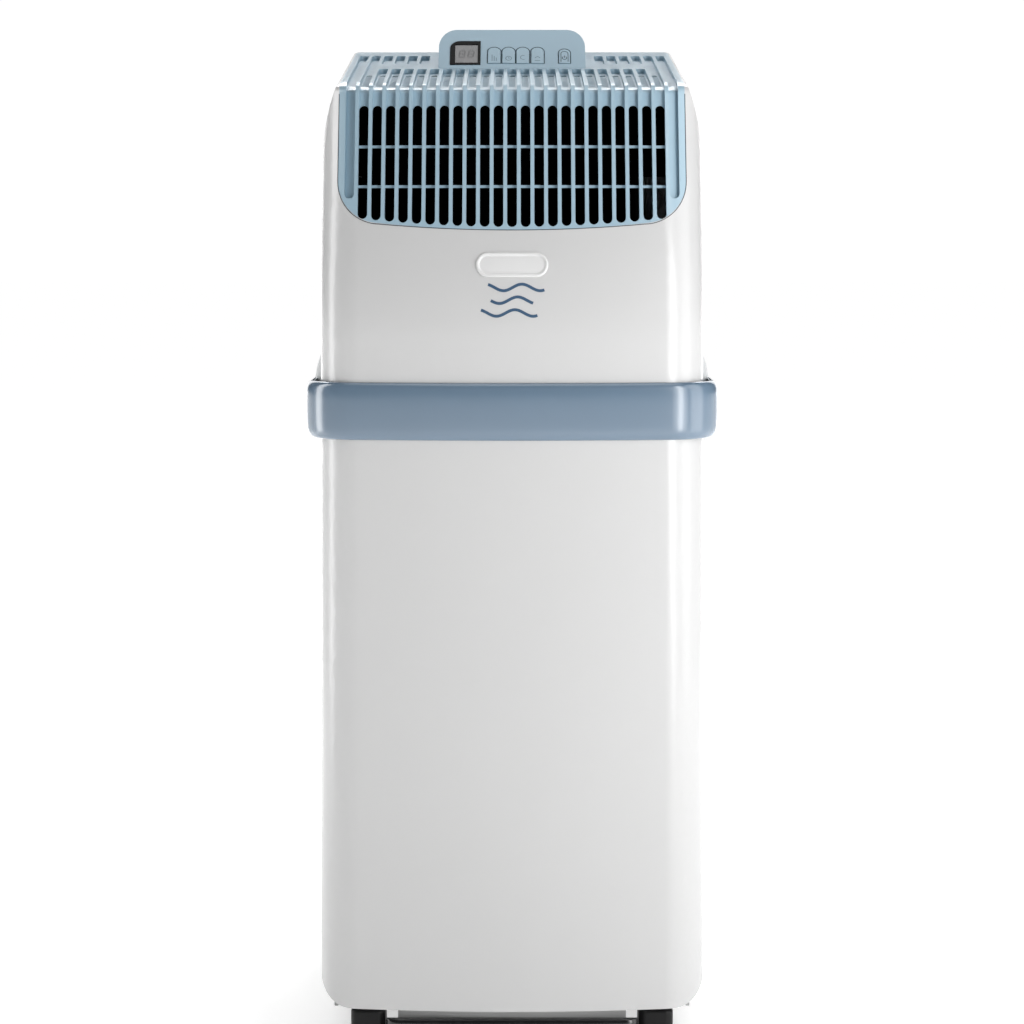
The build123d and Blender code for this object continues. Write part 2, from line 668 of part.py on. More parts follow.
def housing_screws():
    """Recessed-head screws along the back edges and above the grille."""
    screws = []
    for sx in (-1, 1):
        for z in (74.0, 312.0, 452.0):
            head = rod_y(4.0, sx * 116.0, (160.0, 162.2), z)
            cross = block((sx * 116.0 - 0.6, sx * 116.0 + 0.6), (161.2, 163), (z - 2.6, z + 2.6))
            cross2 = block((sx * 116.0 - 2.6, sx * 116.0 + 2.6), (161.2, 163), (z - 0.6, z + 0.6))
            screws.append(head - cross - cross2)
    return Compound(screws)


# ---- air filter ----
def filter_frame():
    y0, y1 = FILTER_Y
    z0, z1 = FILTER_Z
    w = FILTER_HALF
    frame = block((-w, w), (y0, y1), (z0, z1)) - block((-w + 5, w - 5), (y0 - 1, y1 + 1),
                                                       (z0 + 5, z1 - 8))
    bars = [block((x - 1, x + 1), (y0 + 1, y1 - 1), (z0 + 4, z1 - 7)) for x in (-31, 31)]
    bars += [block((-w + 4, w - 4), (y0 + 1, y1 - 1), (z - 1, z + 1)) for z in (560.0, 645.0)]
    tab = block((-22, 22), (y0 + 1, y1 - 1), (z1 - 1, z1 + 2.4))
    return frame.fuse(tab, *bars)


def filter_mesh():
    """Fine mesh, drawn as thin panes that fill the frame's windows."""
    y = sum(FILTER_Y) / 2
    w = FILTER_HALF
    sheet = block((-w + 5, w - 5), (y - 0.4, y + 0.4), (FILTER_Z[0] + 5, FILTER_Z[1] - 8))
    return sheet - filter_frame()


def filter_rails():
    """Channels that guide the filter behind the intake grille."""
    rails = []
    for sx in (-1, 1):
        rail = block((FILTER_HALF - 5, FILTER_HALF + 5), (139.0, 151.0), (466.0, 700.0))
        rail -= block((FILTER_HALF - 6, FILTER_HALF + 0.5), (141.6, 148.4), (473.5, 701.0))
        rails.append(rail if sx > 0 else mirror(rail, about=Plane.YZ))
    return Compound(rails)


# ---- room-air circuit ----
def blower_wheel_x(x, r, hub_r, blades):
    """Cross-flow wheel: blades between end discs and rings, on a through shaft."""
    x0, x1 = x
    discs = [rod_x(r, (a, a + 2.0), 0, 0) for a in (x0, x1 - 2.0)]
    rings = []
    for i in (1, 2):
        a = x0 + (x1 - x0) * i / 3 - 1
        rings.append(rod_x(r, (a, a + 2.0), 0, 0) - rod_x(r - 11, (a - 1, a + 3), 0, 0))
    fins = []
    for i in range(blades):
        fin = Pos((x0 + x1) / 2, r - 5.2, 0) * Rot(35, 0, 0) * Box(x1 - x0 - 2, 10.0, 1.2)
        fins.append(Rot(360.0 * i / blades, 0, 0) * fin)
    shaft = rod_x(hub_r, (x0 - 8, x1 + 12), 0, 0)
    return discs[0].fuse(discs[1], *rings, *fins, shaft)


def cool_fan_wheel():
    y, z = COOL_FAN
    return Pos(0, y, z) * blower_wheel_x(COOL_FAN_X, COOL_FAN_R, 4.0, 28)


def cool_fan_motor():
    y, z = COOL_FAN
    x0 = COOL_FAN_X[1] + 10
    body = rod_x(31.0, (x0 + 3, x0 + 33), y, z)
    body = fillet(body.edges().filter_by(GeomType.CIRCLE), 4.0)
    nose = rod_x(9.0, (x0, x0 + 4), y, z)
    feet = block((x0 + 8, x0 + 28), (y - 26, y + 26), (z - 40, z - 24))
    return (body + nose + feet) - rod_x(4.0 + RUN_FIT, (x0 - 1, x0 + 14), y, z)


def cool_fan_scroll():
    """Casing of the cross-flow wheel: curved floor, front wall and rear lip."""
    y, z = COOL_FAN
    r = COOL_FAN_R + 6
    t = 2.5
    x0, x1 = COOL_FAN_X[0] - 5, COOL_FAN_X[1] + 5
    with BuildSketch(Plane.YZ) as sk:
        with BuildLine():
            floor_start = (y - r, z)
            low = (y, z - r)
            end = (y + r * math.cos(math.radians(-50)), z + r * math.sin(math.radians(-50)))
            end_out = (y + (r + t) * math.cos(math.radians(-50)),
                       z + (r + t) * math.sin(math.radians(-50)))
            ThreePointArc(floor_start, low, end)
            Line(end, end_out)
            ThreePointArc(end_out, (y, z - r - t), (y - r - t, z))
            Polyline((y - r - t, z), COOL_NOSE, (COOL_NOSE[0] + 1.2, COOL_NOSE[1] + 2.2),
                     floor_start)
        make_face()
        with BuildLine():
            Polyline((y + 28, z + 44), (34.0, 632.0), (34.0, 690.0), (36.5, 690.0),
                     (36.5, 630.0), (y + 32, z + 43), (y + 28, z + 44))
        make_face()
    walls = Pos(x0, 0, 0) * extrude(sk.sketch, x1 - x0)
    with BuildSketch(Plane.YZ) as side:
        with Locations((y, z)):
            Circle(r + t)
        with BuildLine():
            Polyline((y - r - t, z), COOL_NOSE, (-110.0, 640.0), (36.5, 640.0),
                     (36.5, 600), (y + 32, z + 43), (y - r - t, z))
        make_face()
    ends = [Pos(x, 0, 0) * extrude(side.sketch, 2.5) for x in (x0 - 2.5, x1)]
    bore = rod_x(4.0 + RUN_FIT, (x0 - 4, x0 + 1), y, z)
    return walls.fuse(*ends) - bore - rod_x(12.0, (x1 - 1, x1 + 4), y, z)


def outlet_duct():
    """Short duct from the fan casing to the back of the outlet grille."""
    outer = block((-123.5, 123.5), (-149, 41.0), (641.0, 712))
    hollow = block((-122.0, 122.0), (-160, 39.5), (630, 720))
    sides = (outer - hollow) & block((-200, 200), (-100, 60), (0, 712))
    return sides & envelope(GRILLE_WALL + 1.0)


def coil(x, y, z, fins):
    """Finned heat-exchanger block with hairpin bends at both ends."""
    x0, x1 = x
    y0, y1 = y
    z0, z1 = z
    parts = [block((x0, x1), (y0 + 2.0, y1 - 2.0), (z0 + 3, z1 - 3))]
    step = (x1 - x0) / fins
    parts += [block((x0 + step * i, x0 + step * i + 1.0), y, z) for i in range(fins)]
    parts.append(block((x1 - 1.2, x1), y, z))
    rows = int((z1 - z0 - 20) / 25.4)
    ym = (y0 + y1) / 2
    for i in range(rows):
        zc = z0 + 14 + 25.4 * i + 6.35
        for s, xe in ((-1, x0), (1, x1)):
            bend = Torus(6.35, 3.5) & Box(9.85, 30, 30, align=(Align.MIN, Align.CENTER, Align.CENTER))
            bend = Rot(90, 0, 0) * bend
            bend = bend if s > 0 else mirror(bend, about=Plane.YZ)
            parts.append(Pos(xe, ym, zc + (6.35 if s > 0 else -0.0)) * bend)
    return parts[0].fuse(*parts[1:])


# ---- exhaust circuit ----
def heat_fan_wheel():
    """Squirrel-cage wheel with a back plate and a shaft towards the motor."""
    x, z = HEAT_FAN
    y0, y1 = HEAT_FAN_Y
    plate = rod_y(HEAT_FAN_R, x, (y0, y0 + 2), z)
    ring = rod_y(HEAT_FAN_R, x, (y1 - 3, y1), z) - rod_y(HEAT_FAN_R - 12, x, (y1 - 4, y1 + 1), z)
    hub = rod_y(14.0, x, (y0, y0 + 16), z)
    shaft = rod_y(4.0, x, (y0 - 14, y0 + 18), z)
    fins = []
    for i in range(32):
        fin = Rot(0, 360.0 * i / 32, 0) * Pos(HEAT_FAN_R - 6, 0, 0) * Rot(0, 35, 0) * \
            Box(11.0, y1 - y0 - 3, 1.3)
        fins.append(Pos(x, (y0 + y1) / 2, z) * fin)
    return plate.fuse(ring, hub, shaft, *fins)


def heat_fan_motor():
    x, z = HEAT_FAN
    y1 = HEAT_FAN_Y[0] - 6
    body = rod_y(38.0, x, (y1 - 44, y1 - 4), z)
    body = fillet(body.edges().filter_by(GeomType.CIRCLE), 5.0)
    nose = rod_y(12.0, x, (y1 - 5, y1), z)
    return (body + nose) - rod_y(4.0 + RUN_FIT, x, (y1 - 10, y1 + 1), z)


def heat_fan_scroll():
    """Snail-shell casing with an inlet towards the condenser and an outlet upwards."""
    x, z = HEAT_FAN
    y0, y1 = HEAT_FAN_Y[0] - 5, HEAT_FAN_Y[1] + 5
    r = HEAT_FAN_R + 18

    def volute(grow):
        with BuildSketch(Plane.XZ) as sk:
            with Locations((x, z)):
                Circle(r + grow)
            with Locations((x + (r + grow) - 42.0, z + 70)):
                Rectangle(84.0, 140)
        return sk.sketch

    casing = Pos(0, y1, 0) * extrude(volute(0.0), y1 - y0)
    hollow = Pos(0, y1 - 2, 0) * extrude(volute(-2.0), y1 - y0 - 4)
    throat = block((x + r - 82, x + r - 2), (y0 + 2, y1 - 2), (z + 80, z + 200))
    scroll = casing - hollow - throat
    scroll -= rod_y(HEAT_FAN_R - 14, x, (y1 - 3, y1 + 1), z)
    return scroll - rod_y(13.0, x, (y0 - 1, y0 + 3), z)


def exhaust_plenum():
    """Box that turns the exhaust air backwards into the outlet collar."""
    x1 = HEAT_FAN[0] + HEAT_FAN_R + 18
    z0 = HEAT_FAN[1] + 140
    y0, y1 = HEAT_FAN_Y[0] - 5, HEAT_FAN_Y[1] + 5
    top = DIVIDER_Z - 0.5
    box_outer = block((-76, x1 + 4), (y0, 142.8), (z0, top))
    box_inner = block((-74, x1 + 2), (y0 + 2, 140.8), (z0 + 2, top - 2))
    throat = block((x1 - 82, x1 - 2), (y0 + 2, y1 - 2), (z0 - 1, z0 + 3))
    mouth = rod_y(COLLAR_R - 4, 0, (140, 144), COLLAR_Z)
    return box_outer - box_inner - throat - mouth


# ---- refrigerant circuit ----
def compressor():
    """Rotary compressor on three feet, with its accumulator alongside."""
    x, y = PUMP
    can = rod_z(PUMP_R, x, y, (60, 232))
    can = fillet(can.edges().filter_by(GeomType.CIRCLE), 16.0)
    foot = Pos(x, y, 54) * extrude(RegularPolygon(PUMP_R + 16, 3, rotation=90), 3)
    foot = fillet(foot.edges().filter_by(Axis.Z), 8)
    skirt = rod_z(PUMP_R - 12, x, y, (56, 70))
    tank = rod_z(18.0, x + 74, y - 6, (84, 196))
    tank = fillet(tank.edges().filter_by(GeomType.CIRCLE), 10.0)
    strap = block((x + 36, x + 62), (y - 12, y), (128, 140))
    pump = can.fuse(foot, skirt, tank, strap)
    return pump.cut(*[rod_z(4.2, px, py, (50, 60)) for px, py in pump_feet()])


def pump_feet():
    x, y = PUMP
    return [(x + 50 * math.cos(math.radians(a)), y + 50 * math.sin(math.radians(a)))
            for a in (90, 210, 330)]


def pump_grommets():
    """Rubber mounts between the tray's studs and the compressor's feet."""
    mounts = []
    for x, y in pump_feet():
        ring = rod_z(7.0, x, y, (48, 54)) + rod_z(4.15, x, y, (53, 57)) + rod_z(6.5, x, y, (57, 60))
        mounts.append(ring - rod_z(2.55, x, y, (47, 62)))
    return Compound(mounts)


def pump_terminal_cap():
    x, y = PUMP
    cap = rod_z(15.0, x - 8, y + 8, (232, 250))
    return fillet(cap.edges().sort_by(Axis.Z)[-1], 5.0)


def pipe(points, radius, bend):
    path = FilletPolyline(*points, radius=bend)
    start = Plane(origin=points[0], z_dir=Vector(*points[1]) - Vector(*points[0]))
    return sweep(start * Circle(radius), path=path)


def discharge_line():
    x, y = PUMP
    return pipe([(x + 22, y + 8, 232), (x + 22, y + 8, 288), (-96, -30, 288), (-128, 60, 288),
                 (-128, 112, 288)], 4.0, 12.0)


def suction_line():
    x, y = PUMP
    return pipe([(x + 74, y - 6, 196), (x + 74, y - 6, 436), (-98, -70, 436), (-98, 108, 436),
                 (-98, 108, 470)], 5.0, 14.0)


def filter_drier():
    """Copper drier between the condenser and the capillary."""
    drier = rod_z(10.0, -112, 20, (310, 380))
    drier = fillet(drier.edges().filter_by(GeomType.CIRCLE), 6.0)
    return drier + rod_z(3.0, -112, 20, (300, 390))


def capillary_tube():
    """Fine copper tube wound in a few flat turns."""
    turns = [Pos(-112, 20, 396 + 4.0 * i) * Torus(13.0, 1.5) for i in range(6)]
    links = [rod_z(1.5, -99, 20, (396, 416))]
    tail = rod_z(1.5, -125, 20, (396, 416))
    stub = block((-113.5, -99), (18.5, 21.5), (391, 394)) + rod_z(1.4, -112, 20, (390, 392))
    stub += rod_z(1.4, -100, 20, (393, 398))
    return turns[0].fuse(*turns[1:], *links, tail, stub)


# ---- water circuit ----
def slinger_wheel():
    """Small paddle disc that throws condensate onto the condenser."""
    x, z = SLINGER
    disc = rod_y(12.0, x, (101.0, 103.0), z)
    shaft = rod_y(2.0, x, (92.0, 108.0), z)
    hub = rod_y(5.0, x, (99.0, 107.0), z)
    fins = [Pos(x, 104.5, z) * Rot(0, 45 * i, 0) * Pos(10.5, 0, 0) * Box(8.0, 6.0, 1.4)
            for i in range(8)]
    return disc.fuse(hub, shaft, *fins)


def slinger_motor():
    x, z = SLINGER
    body = rod_y(14.0, x, (68.0, 96.0), z)
    body = fillet(body.edges().filter_by(GeomType.CIRCLE), 2.0)
    foot = block((x - 12, x + 12), (70, 94), (42.2, z - 8))
    return (body + foot) - rod_y(2.0 + RUN_FIT, x, (88, 97), z)


def float_bracket():
    y, z = FLOAT_PIVOT
    plate = block((-112, -84), (y - 8, y + 8), (42.2, 46))
    ears = [block((x, x + 3), (y - 5, y + 5), (44, z + 6)) for x in (-112, -87)]
    pin = rod_x(2.0, (-111, -85), y, z)
    return plate.fuse(*ears, pin)


def float_arm():
    """Level float on a short arm, hinged on the bracket's pin."""
    y, z = FLOAT_PIVOT
    boss = rod_x(4.0, (-103, -93), y, z)
    arm = block((-100, -96), (y - 30, y), (z - 2, z + 2))
    ball = Pos(-98, y - 36, z - 2) * Cylinder(12.0, 16.0)
    ball = fillet(ball.edges().filter_by(GeomType.CIRCLE), 3.0)
    return boss.fuse(arm, ball) - rod_x(2.0 + RUN_FIT, (-105, -91), y, z)


# ---- electrical parts and inner structure ----
def divider():
    """Deck between the cold upper half and the warm lower half."""
    deck = envelope(WALL + 0.3) & block((-200, 200), (-200, 138.0), (DIVIDER_Z, DIVIDER_Z + 3))
    deck = deck.cut(*pockets(grow=POCKET_WALL + 0.4))
    return deck - rod_z(8.0, -98, 108, (400, 500))


def electrical_box():
    box_solid = block((48, 116), (-150, -62), (300, 440))
    box_solid = fillet(box_solid.edges().filter_by(Axis.Z), 5.0)
    return box_solid - block((51, 113), (-147, -65), (303, 437))


def control_board():
    board = block((54, 110), (-145, -143.4), (308, 432))
    parts = [block((60, 84), (-143.4, -125), (316, 340)),
             rod_y(8, 96, (-143.4, -118), 330),
             block((60, 104), (-143.4, -134), (396, 420)),
             block((66, 78), (-143.4, -128), (356, 380))]
    return board.fuse(*parts)


def run_capacitor():
    can = rod_z(20.0, 20.0, -128.0, (330, 400))
    can = fillet(can.edges().sort_by(Axis.Z)[-1], 3.0)
    tabs = [block((x - 1, x + 1), (-131, -125), (399, 408)) for x in (14.0, 26.0)]
    return can.fuse(*tabs)


# ---- outlet flap ----
def air_deflector():
    """Flap under the top openings, swinging down from its rear edge."""
    y, z = FLAP_AXIS
    spin = Pos(0, y, z) * Rot(TOP_SLOPE_DEG, 0, 0)
    blade = Box(2 * FLAP_HALF, FLAP_LONG, 2.4, align=(Align.CENTER, Align.MAX, Align.CENTER))
    notch = Pos(FLAP_HALF, 0, 0) * Box(34, 30, 10)
    rib = [Pos(x, -FLAP_LONG / 2, -3) * Box(1.6, FLAP_LONG - 12, 5) for x in (-76, -38, 0, 38, 76)]
    flap = spin * (blade.fuse(*rib) - notch)
    barrel = rod_x(4.5, (-FLAP_HALF, FLAP_HALF - 17), y, z)
    pins = rod_x(FLAP_PIN_R, (-EAR_X[1] + 0.5, -FLAP_HALF + 1), y, z)
    shaft = rod_x(FLAP_PIN_R, (FLAP_HALF - 18, FLAP_HALF - 11), y, z)
    return flap.fuse(barrel, pins, shaft)


def deflector_motor():
    y, z = FLAP_AXIS
    x0 = FLAP_HALF - 15.5
    body = rod_x(9.0, (x0, EAR_X[0]), y, z - 5.0)
    return body - rod_x(FLAP_PIN_R + RUN_FIT, (x0 - 1, x0 + 6), y, z)


def build():
    """Every sub-part by its node name."""
    skin = envelope(0.0)
    lining = envelope(WALL)
    grille_inner = envelope(GRILLE_WALL)
    shell = case_shell(skin, lining)
    parts = {
        "base_tray": base_tray(),
        "front_shell": front_shell(shell),
        "rear_shell": rear_shell(shell),
        "outlet_grille": top_grille(skin, grille_inner, envelope(TROUGH_DEPTH)),
        "handle_band": handle_band(),
        "handle_cheeks": Compound([handle_cheek(side, skin) for side in (-1, 1)]),
        "handle_pockets": handle_pockets(skin),
        "cross_members": Compound([cross_member((-164, -118), CASTER_FRONT_Y),
                                   cross_member((108, 150), CASTER_REAR_Y)]),
        "control_housing": control_housing(skin),
        "display_bezel": display_bezel(),
        "display_window": display_window(),
        "control_pcb": control_pcb(),
        "badge": badge(skin),
        "intake_grille": louvre_panel(INTAKE_HALF, INTAKE_Z, (156.0, 164.0), 11.0, 1.8, 35),
        "condenser_grille": louvre_panel(VENT_HALF, VENT_Z, (156.0, 163.0), 11.0, 1.8, 35),
        "exhaust_collar": exhaust_collar(),
        "drain_spout": drain_spout(),
        "drain_plug": drain_plug(),
        "cord_gland": cord_gland(),
        "housing_screws": housing_screws(),
        "filter_frame": filter_frame(),
        "filter_mesh": filter_mesh(),
        "filter_rails": filter_rails(),
        "evaporator_coil": coil((-112, 112), (100, 126), (470, 690), 44),
        "condenser_coil": coil((-112, 112), (118, 146), (68, 300), 44),
        "cool_fan_wheel": cool_fan_wheel(),
        "cool_fan_motor": cool_fan_motor(),
        "cool_fan_casing": Compound([cool_fan_scroll(), outlet_duct()]),
        "heat_fan_wheel": heat_fan_wheel(),
        "heat_fan_motor": heat_fan_motor(),
        "heat_fan_scroll": heat_fan_scroll(),
        "exhaust_plenum": exhaust_plenum(),
        "compressor": compressor() + pump_terminal_cap(),
        "compressor_grommets": pump_grommets(),
        "discharge_line": discharge_line(),
        "suction_line": suction_line(),
        "capillary_tube": Compound([filter_drier(), capillary_tube()]),
        "slinger_wheel": slinger_wheel(),
        "slinger_motor": slinger_motor(),
        "float_bracket": float_bracket(),
        "float_arm": float_arm(),
        "divider": divider(),
        "electrical_box": electrical_box(),
        "control_board": control_board(),
        "run_capacitor": run_capacitor(),
        "air_deflector": air_deflector(),
        "deflector_motor": deflector_motor(),
    }
    for name, x, w, h in keys():
        parts[name] = button(x, w, h)
    places = zip(("front_left", "front_right", "rear_left", "rear_right"), caster_places())
    for name, (x, y) in places:
        parts[f"caster_hood_{name}"] = caster_hood(x, y)
        parts[f"caster_wheel_{name}"] = caster_wheel(x, y)
    return parts


if __name__ == "__main__":
    os.makedirs("parts", exist_ok=True)
    for node, solid in build().items():
        export_step(solid, f"parts/{node}.step")
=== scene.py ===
import math

import bpy
import numpy as np
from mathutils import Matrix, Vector
from mathutils.bvhtree import BVHTree


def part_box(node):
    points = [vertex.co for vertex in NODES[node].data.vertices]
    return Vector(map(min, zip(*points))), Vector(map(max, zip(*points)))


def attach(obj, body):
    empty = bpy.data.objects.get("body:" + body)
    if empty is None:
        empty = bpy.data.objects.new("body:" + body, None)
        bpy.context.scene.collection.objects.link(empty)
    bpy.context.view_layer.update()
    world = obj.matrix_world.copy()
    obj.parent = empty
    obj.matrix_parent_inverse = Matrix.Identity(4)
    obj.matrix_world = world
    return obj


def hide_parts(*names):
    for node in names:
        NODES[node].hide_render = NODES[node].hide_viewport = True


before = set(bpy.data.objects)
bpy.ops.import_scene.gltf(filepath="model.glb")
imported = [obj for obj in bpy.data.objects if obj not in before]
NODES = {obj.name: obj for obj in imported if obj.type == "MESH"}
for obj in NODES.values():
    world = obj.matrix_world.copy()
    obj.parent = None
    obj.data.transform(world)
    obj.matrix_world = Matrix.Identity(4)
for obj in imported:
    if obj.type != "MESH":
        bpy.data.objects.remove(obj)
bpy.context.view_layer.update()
MM = 0.001

# ---- sizes that the CAD model is built with, repeated here in metres ----
FRONT_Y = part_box("front_shell")[0].y
CASE_HALF = 138.2 * MM        # half-width of the case beside the handle
BOW = 800 * MM                # plan radius of the case's front
SHOULDER_Z = 524 * MM         # the front leans back above this height
LEAN_BLEND = 200 * MM         # radius of the blend from upright to leaning
LEAN_SINE = 0.34              # sine of the full lean
TOP_SLOPE_DEG = 9.35
BROW_Z = 704 * MM             # edge where the leaning front meets the top
BROW_SETBACK = 54 * MM        # that edge lies this far behind the front
GRILLE_CORNER = 31 * MM       # radius of the outlet grille's lower corners
GRILLE_FOOT_RISE = 4.2 * MM   # rise of its lower edge towards the corners
SLOT_PITCH = 9.73 * MM
SLOT_COLUMNS = 11             # channels each side of the middle one
KEY_PROUD = 0.8 * MM          # the keys' caps stand this far above the panel face


def front_surface(x, z, proud=0.0):
    """Point on the white front at x, z, moved outwards by proud."""
    r = BOW + proud
    tilt = math.asin(min(max(z - SHOULDER_Z, 0.0) / LEAN_BLEND, LEAN_SINE))
    setback = LEAN_BLEND * (1 - math.cos(tilt))
    return Vector((x, FRONT_Y + setback + BOW - math.sqrt(r * r - x * x), z + proud * math.sin(tilt)))


# ---- mesh helpers ----
def make_object(name, verts, faces, smooth_deg=35.0):
    """Mesh object, smooth up to an angle. The faces keep the winding they are given."""
    mesh = bpy.data.meshes.new(name)
    mesh.from_pydata([tuple(v) for v in verts], [], faces)
    mesh.validate()
    obj = bpy.data.objects.new(name, mesh)
    bpy.context.scene.collection.objects.link(obj)
    mesh.polygons.foreach_set("use_smooth", [True] * len(mesh.polygons))
    mesh.set_sharp_from_angle(angle=math.radians(smooth_deg))
    return obj


def merge(parts):
    """Joins (verts, faces) pairs into one."""
    verts, faces = [], []
    for part_verts, part_faces in parts:
        base = len(verts)
        verts += part_verts
        faces += [tuple(base + i for i in f) for f in part_faces]
    return verts, faces


def loft(rings, cap=True):
    """Closed rings of equal length joined in order; with cap, the ends are closed.

    Nothing turns the faces outwards: which way they face follows from the order of the rings.
    """
    n = len(rings[0])
    verts = [v for ring in rings for v in ring]
    faces = []
    for k in range(len(rings) - 1):
        for i in range(n):
            j = (i + 1) % n
            faces.append((k * n + i, k * n + j, (k + 1) * n + j, (k + 1) * n + i))
    if cap:
        faces.append(tuple(reversed(range(n))))
        faces.append(tuple((len(rings) - 1) * n + i for i in range(n)))
    return verts, faces


def ribbon(points, width, closed=False):
    """Flat outline of a stroke: pairs of points on both sides of a line in u, v."""
    count = len(points)
    left, right = [], []
    for i, (u, v) in enumerate(points):
        a = points[(i - 1) % count] if closed or i else points[i]
        b = points[(i + 1) % count] if closed or i < count - 1 else points[i]
        du, dv = b[0] - a[0], b[1] - a[1]
        n = math.hypot(du, dv) or 1.0
        left.append((u - dv / n * width / 2, v + du / n * width / 2))
        right.append((u + dv / n * width / 2, v - du / n * width / 2))
    return left, right


def stroke(points, width, place, height, closed=False):
    """Raised stroke along points in u, v: place(u, v, lift) gives the point in space."""
    left, right = ribbon(points, width, closed)
    rings = []
    for (lu, lv), (ru, rv) in zip(left, right):
        rings.append([place(lu, lv, -height), place(ru, rv, -height),
                      place(ru, rv, height), place(lu, lv, height)])
    verts, faces = loft(rings, cap=not closed)
    if closed:
        n = 4
        last = (len(rings) - 1) * n
        faces += [(last + i, last + (i + 1) % n, (i + 1) % n, i) for i in range(n)]
    return verts, faces


def arc(cu, cv, r, start, end, count=16):
    """Points of a circular arc in u, v, angles in degrees."""
    span = [math.radians(start + (end - start) * i / (count - 1)) for i in range(count)]
    return [(cu + r * math.cos(a), cv + r * math.sin(a)) for a in span]


# ---- material helpers ----
def new_material(name):
    """Material with its node tree, its shader and the object coordinates."""
    mat = bpy.data.materials.new(name)
    mat.use_nodes = True
    tree = mat.node_tree
    shader = tree.nodes["Principled BSDF"]
    coords = tree.nodes.new("ShaderNodeTexCoord")
    return mat, tree, shader, coords.outputs["Object"]


def noise(tree, vector, scale, detail=3.0, roughness=0.55):
    """Noise value; scale is in waves per metre."""
    node = tree.nodes.new("ShaderNodeTexNoise")
    node.inputs["Scale"].default_value = scale
    node.inputs["Detail"].default_value = detail
    node.inputs["Roughness"].default_value = roughness
    tree.links.new(vector, node.inputs["Vector"])
    return node.outputs["Fac"]


def remap(tree, value, low, high, from_low=0.3, from_high=0.7):
    """Stretches a value from one range to another; noise lies mostly between 0.3 and 0.7."""
    node = tree.nodes.new("ShaderNodeMapRange")
    node.inputs["From Min"].default_value = from_low
    node.inputs["From Max"].default_value = from_high
    node.inputs["To Min"].default_value = low
    node.inputs["To Max"].default_value = high
    tree.links.new(value, node.inputs["Value"])
    return node.outputs["Result"]


def blend_colors(tree, factor, a, b):
    """Colour a where factor is 0 and b where it is 1."""
    node = tree.nodes.new("ShaderNodeMix")
    node.data_type = "RGBA"
    node.inputs[6].default_value = (*a, 1.0)
    node.inputs[7].default_value = (*b, 1.0)
    tree.links.new(factor, node.inputs[0])
    return node.outputs[2]


def bump(tree, shader, height, depth, strength=1.0, under=None):
    """Bump of a given depth in metres, laid over another bump's normal if there is one."""
    node = tree.nodes.new("ShaderNodeBump")
    node.inputs["Distance"].default_value = depth
    node.inputs["Strength"].default_value = strength
    tree.links.new(height, node.inputs["Height"])
    if under is not None:
        tree.links.new(under, node.inputs["Normal"])
    tree.links.new(node.outputs["Normal"], shader.inputs["Normal"])
    return node.outputs["Normal"]


def plastic(name, color, rough=0.35, grain=700.0, grain_depth=0.02, mottle=0.03,
            coat=0.0, specular=0.5, coat_rough=0.12, uneven=0.12):
    """Moulded plastic or paint: faint colour drift, uneven gloss and a fine surface grain.

    grain is in waves per metre and grain_depth in millimetres; mottle and uneven are fractions
    of the colour and of the roughness.
    """
    mat, tree, shader, place = new_material(name)
    drift = remap(tree, noise(tree, place, 9.0, 4.0), 0.0, 1.0)
    dark = [c * (1 - mottle) for c in color]
    light = [min(c * (1 + mottle), 1.0) for c in color]
    tree.links.new(blend_colors(tree, drift, dark, light), shader.inputs["Base Color"])
    gloss = remap(tree, noise(tree, place, 38.0, 3.0), rough * (1 - uneven), rough * (1 + uneven))
    tree.links.new(gloss, shader.inputs["Roughness"])
    shader.inputs["Coat Weight"].default_value = coat
    shader.inputs["Coat Roughness"].default_value = coat_rough
    shader.inputs["Specular IOR Level"].default_value = specular
    wave = bump(tree, shader, noise(tree, place, 45.0, 2.0), 0.05 * MM, 0.5)
    bump(tree, shader, noise(tree, place, grain, 2.0), grain_depth * MM, 0.6, wave)
    return mat


def brushed_metal(name, color, rough=0.35, stretch=(1.0, 1.0, 22.0)):
    """Metal with fine parallel drawing marks and darker patches."""
    mat, tree, shader, place = new_material(name)
    mapping = tree.nodes.new("ShaderNodeMapping")
    mapping.inputs["Scale"].default_value = stretch
    tree.links.new(place, mapping.inputs["Vector"])
    lines = noise(tree, mapping.outputs["Vector"], 260.0, 4.0)
    stain = remap(tree, noise(tree, place, 30.0, 5.0), 0.0, 1.0)
    dark = [c * 0.8 for c in color]
    tree.links.new(blend_colors(tree, stain, color, dark), shader.inputs["Base Color"])
    tree.links.new(remap(tree, lines, rough * 0.75, rough * 1.3), shader.inputs["Roughness"])
    shader.inputs["Metallic"].default_value = 1.0
    bump(tree, shader, lines, 0.02 * MM, 0.6)
    return mat


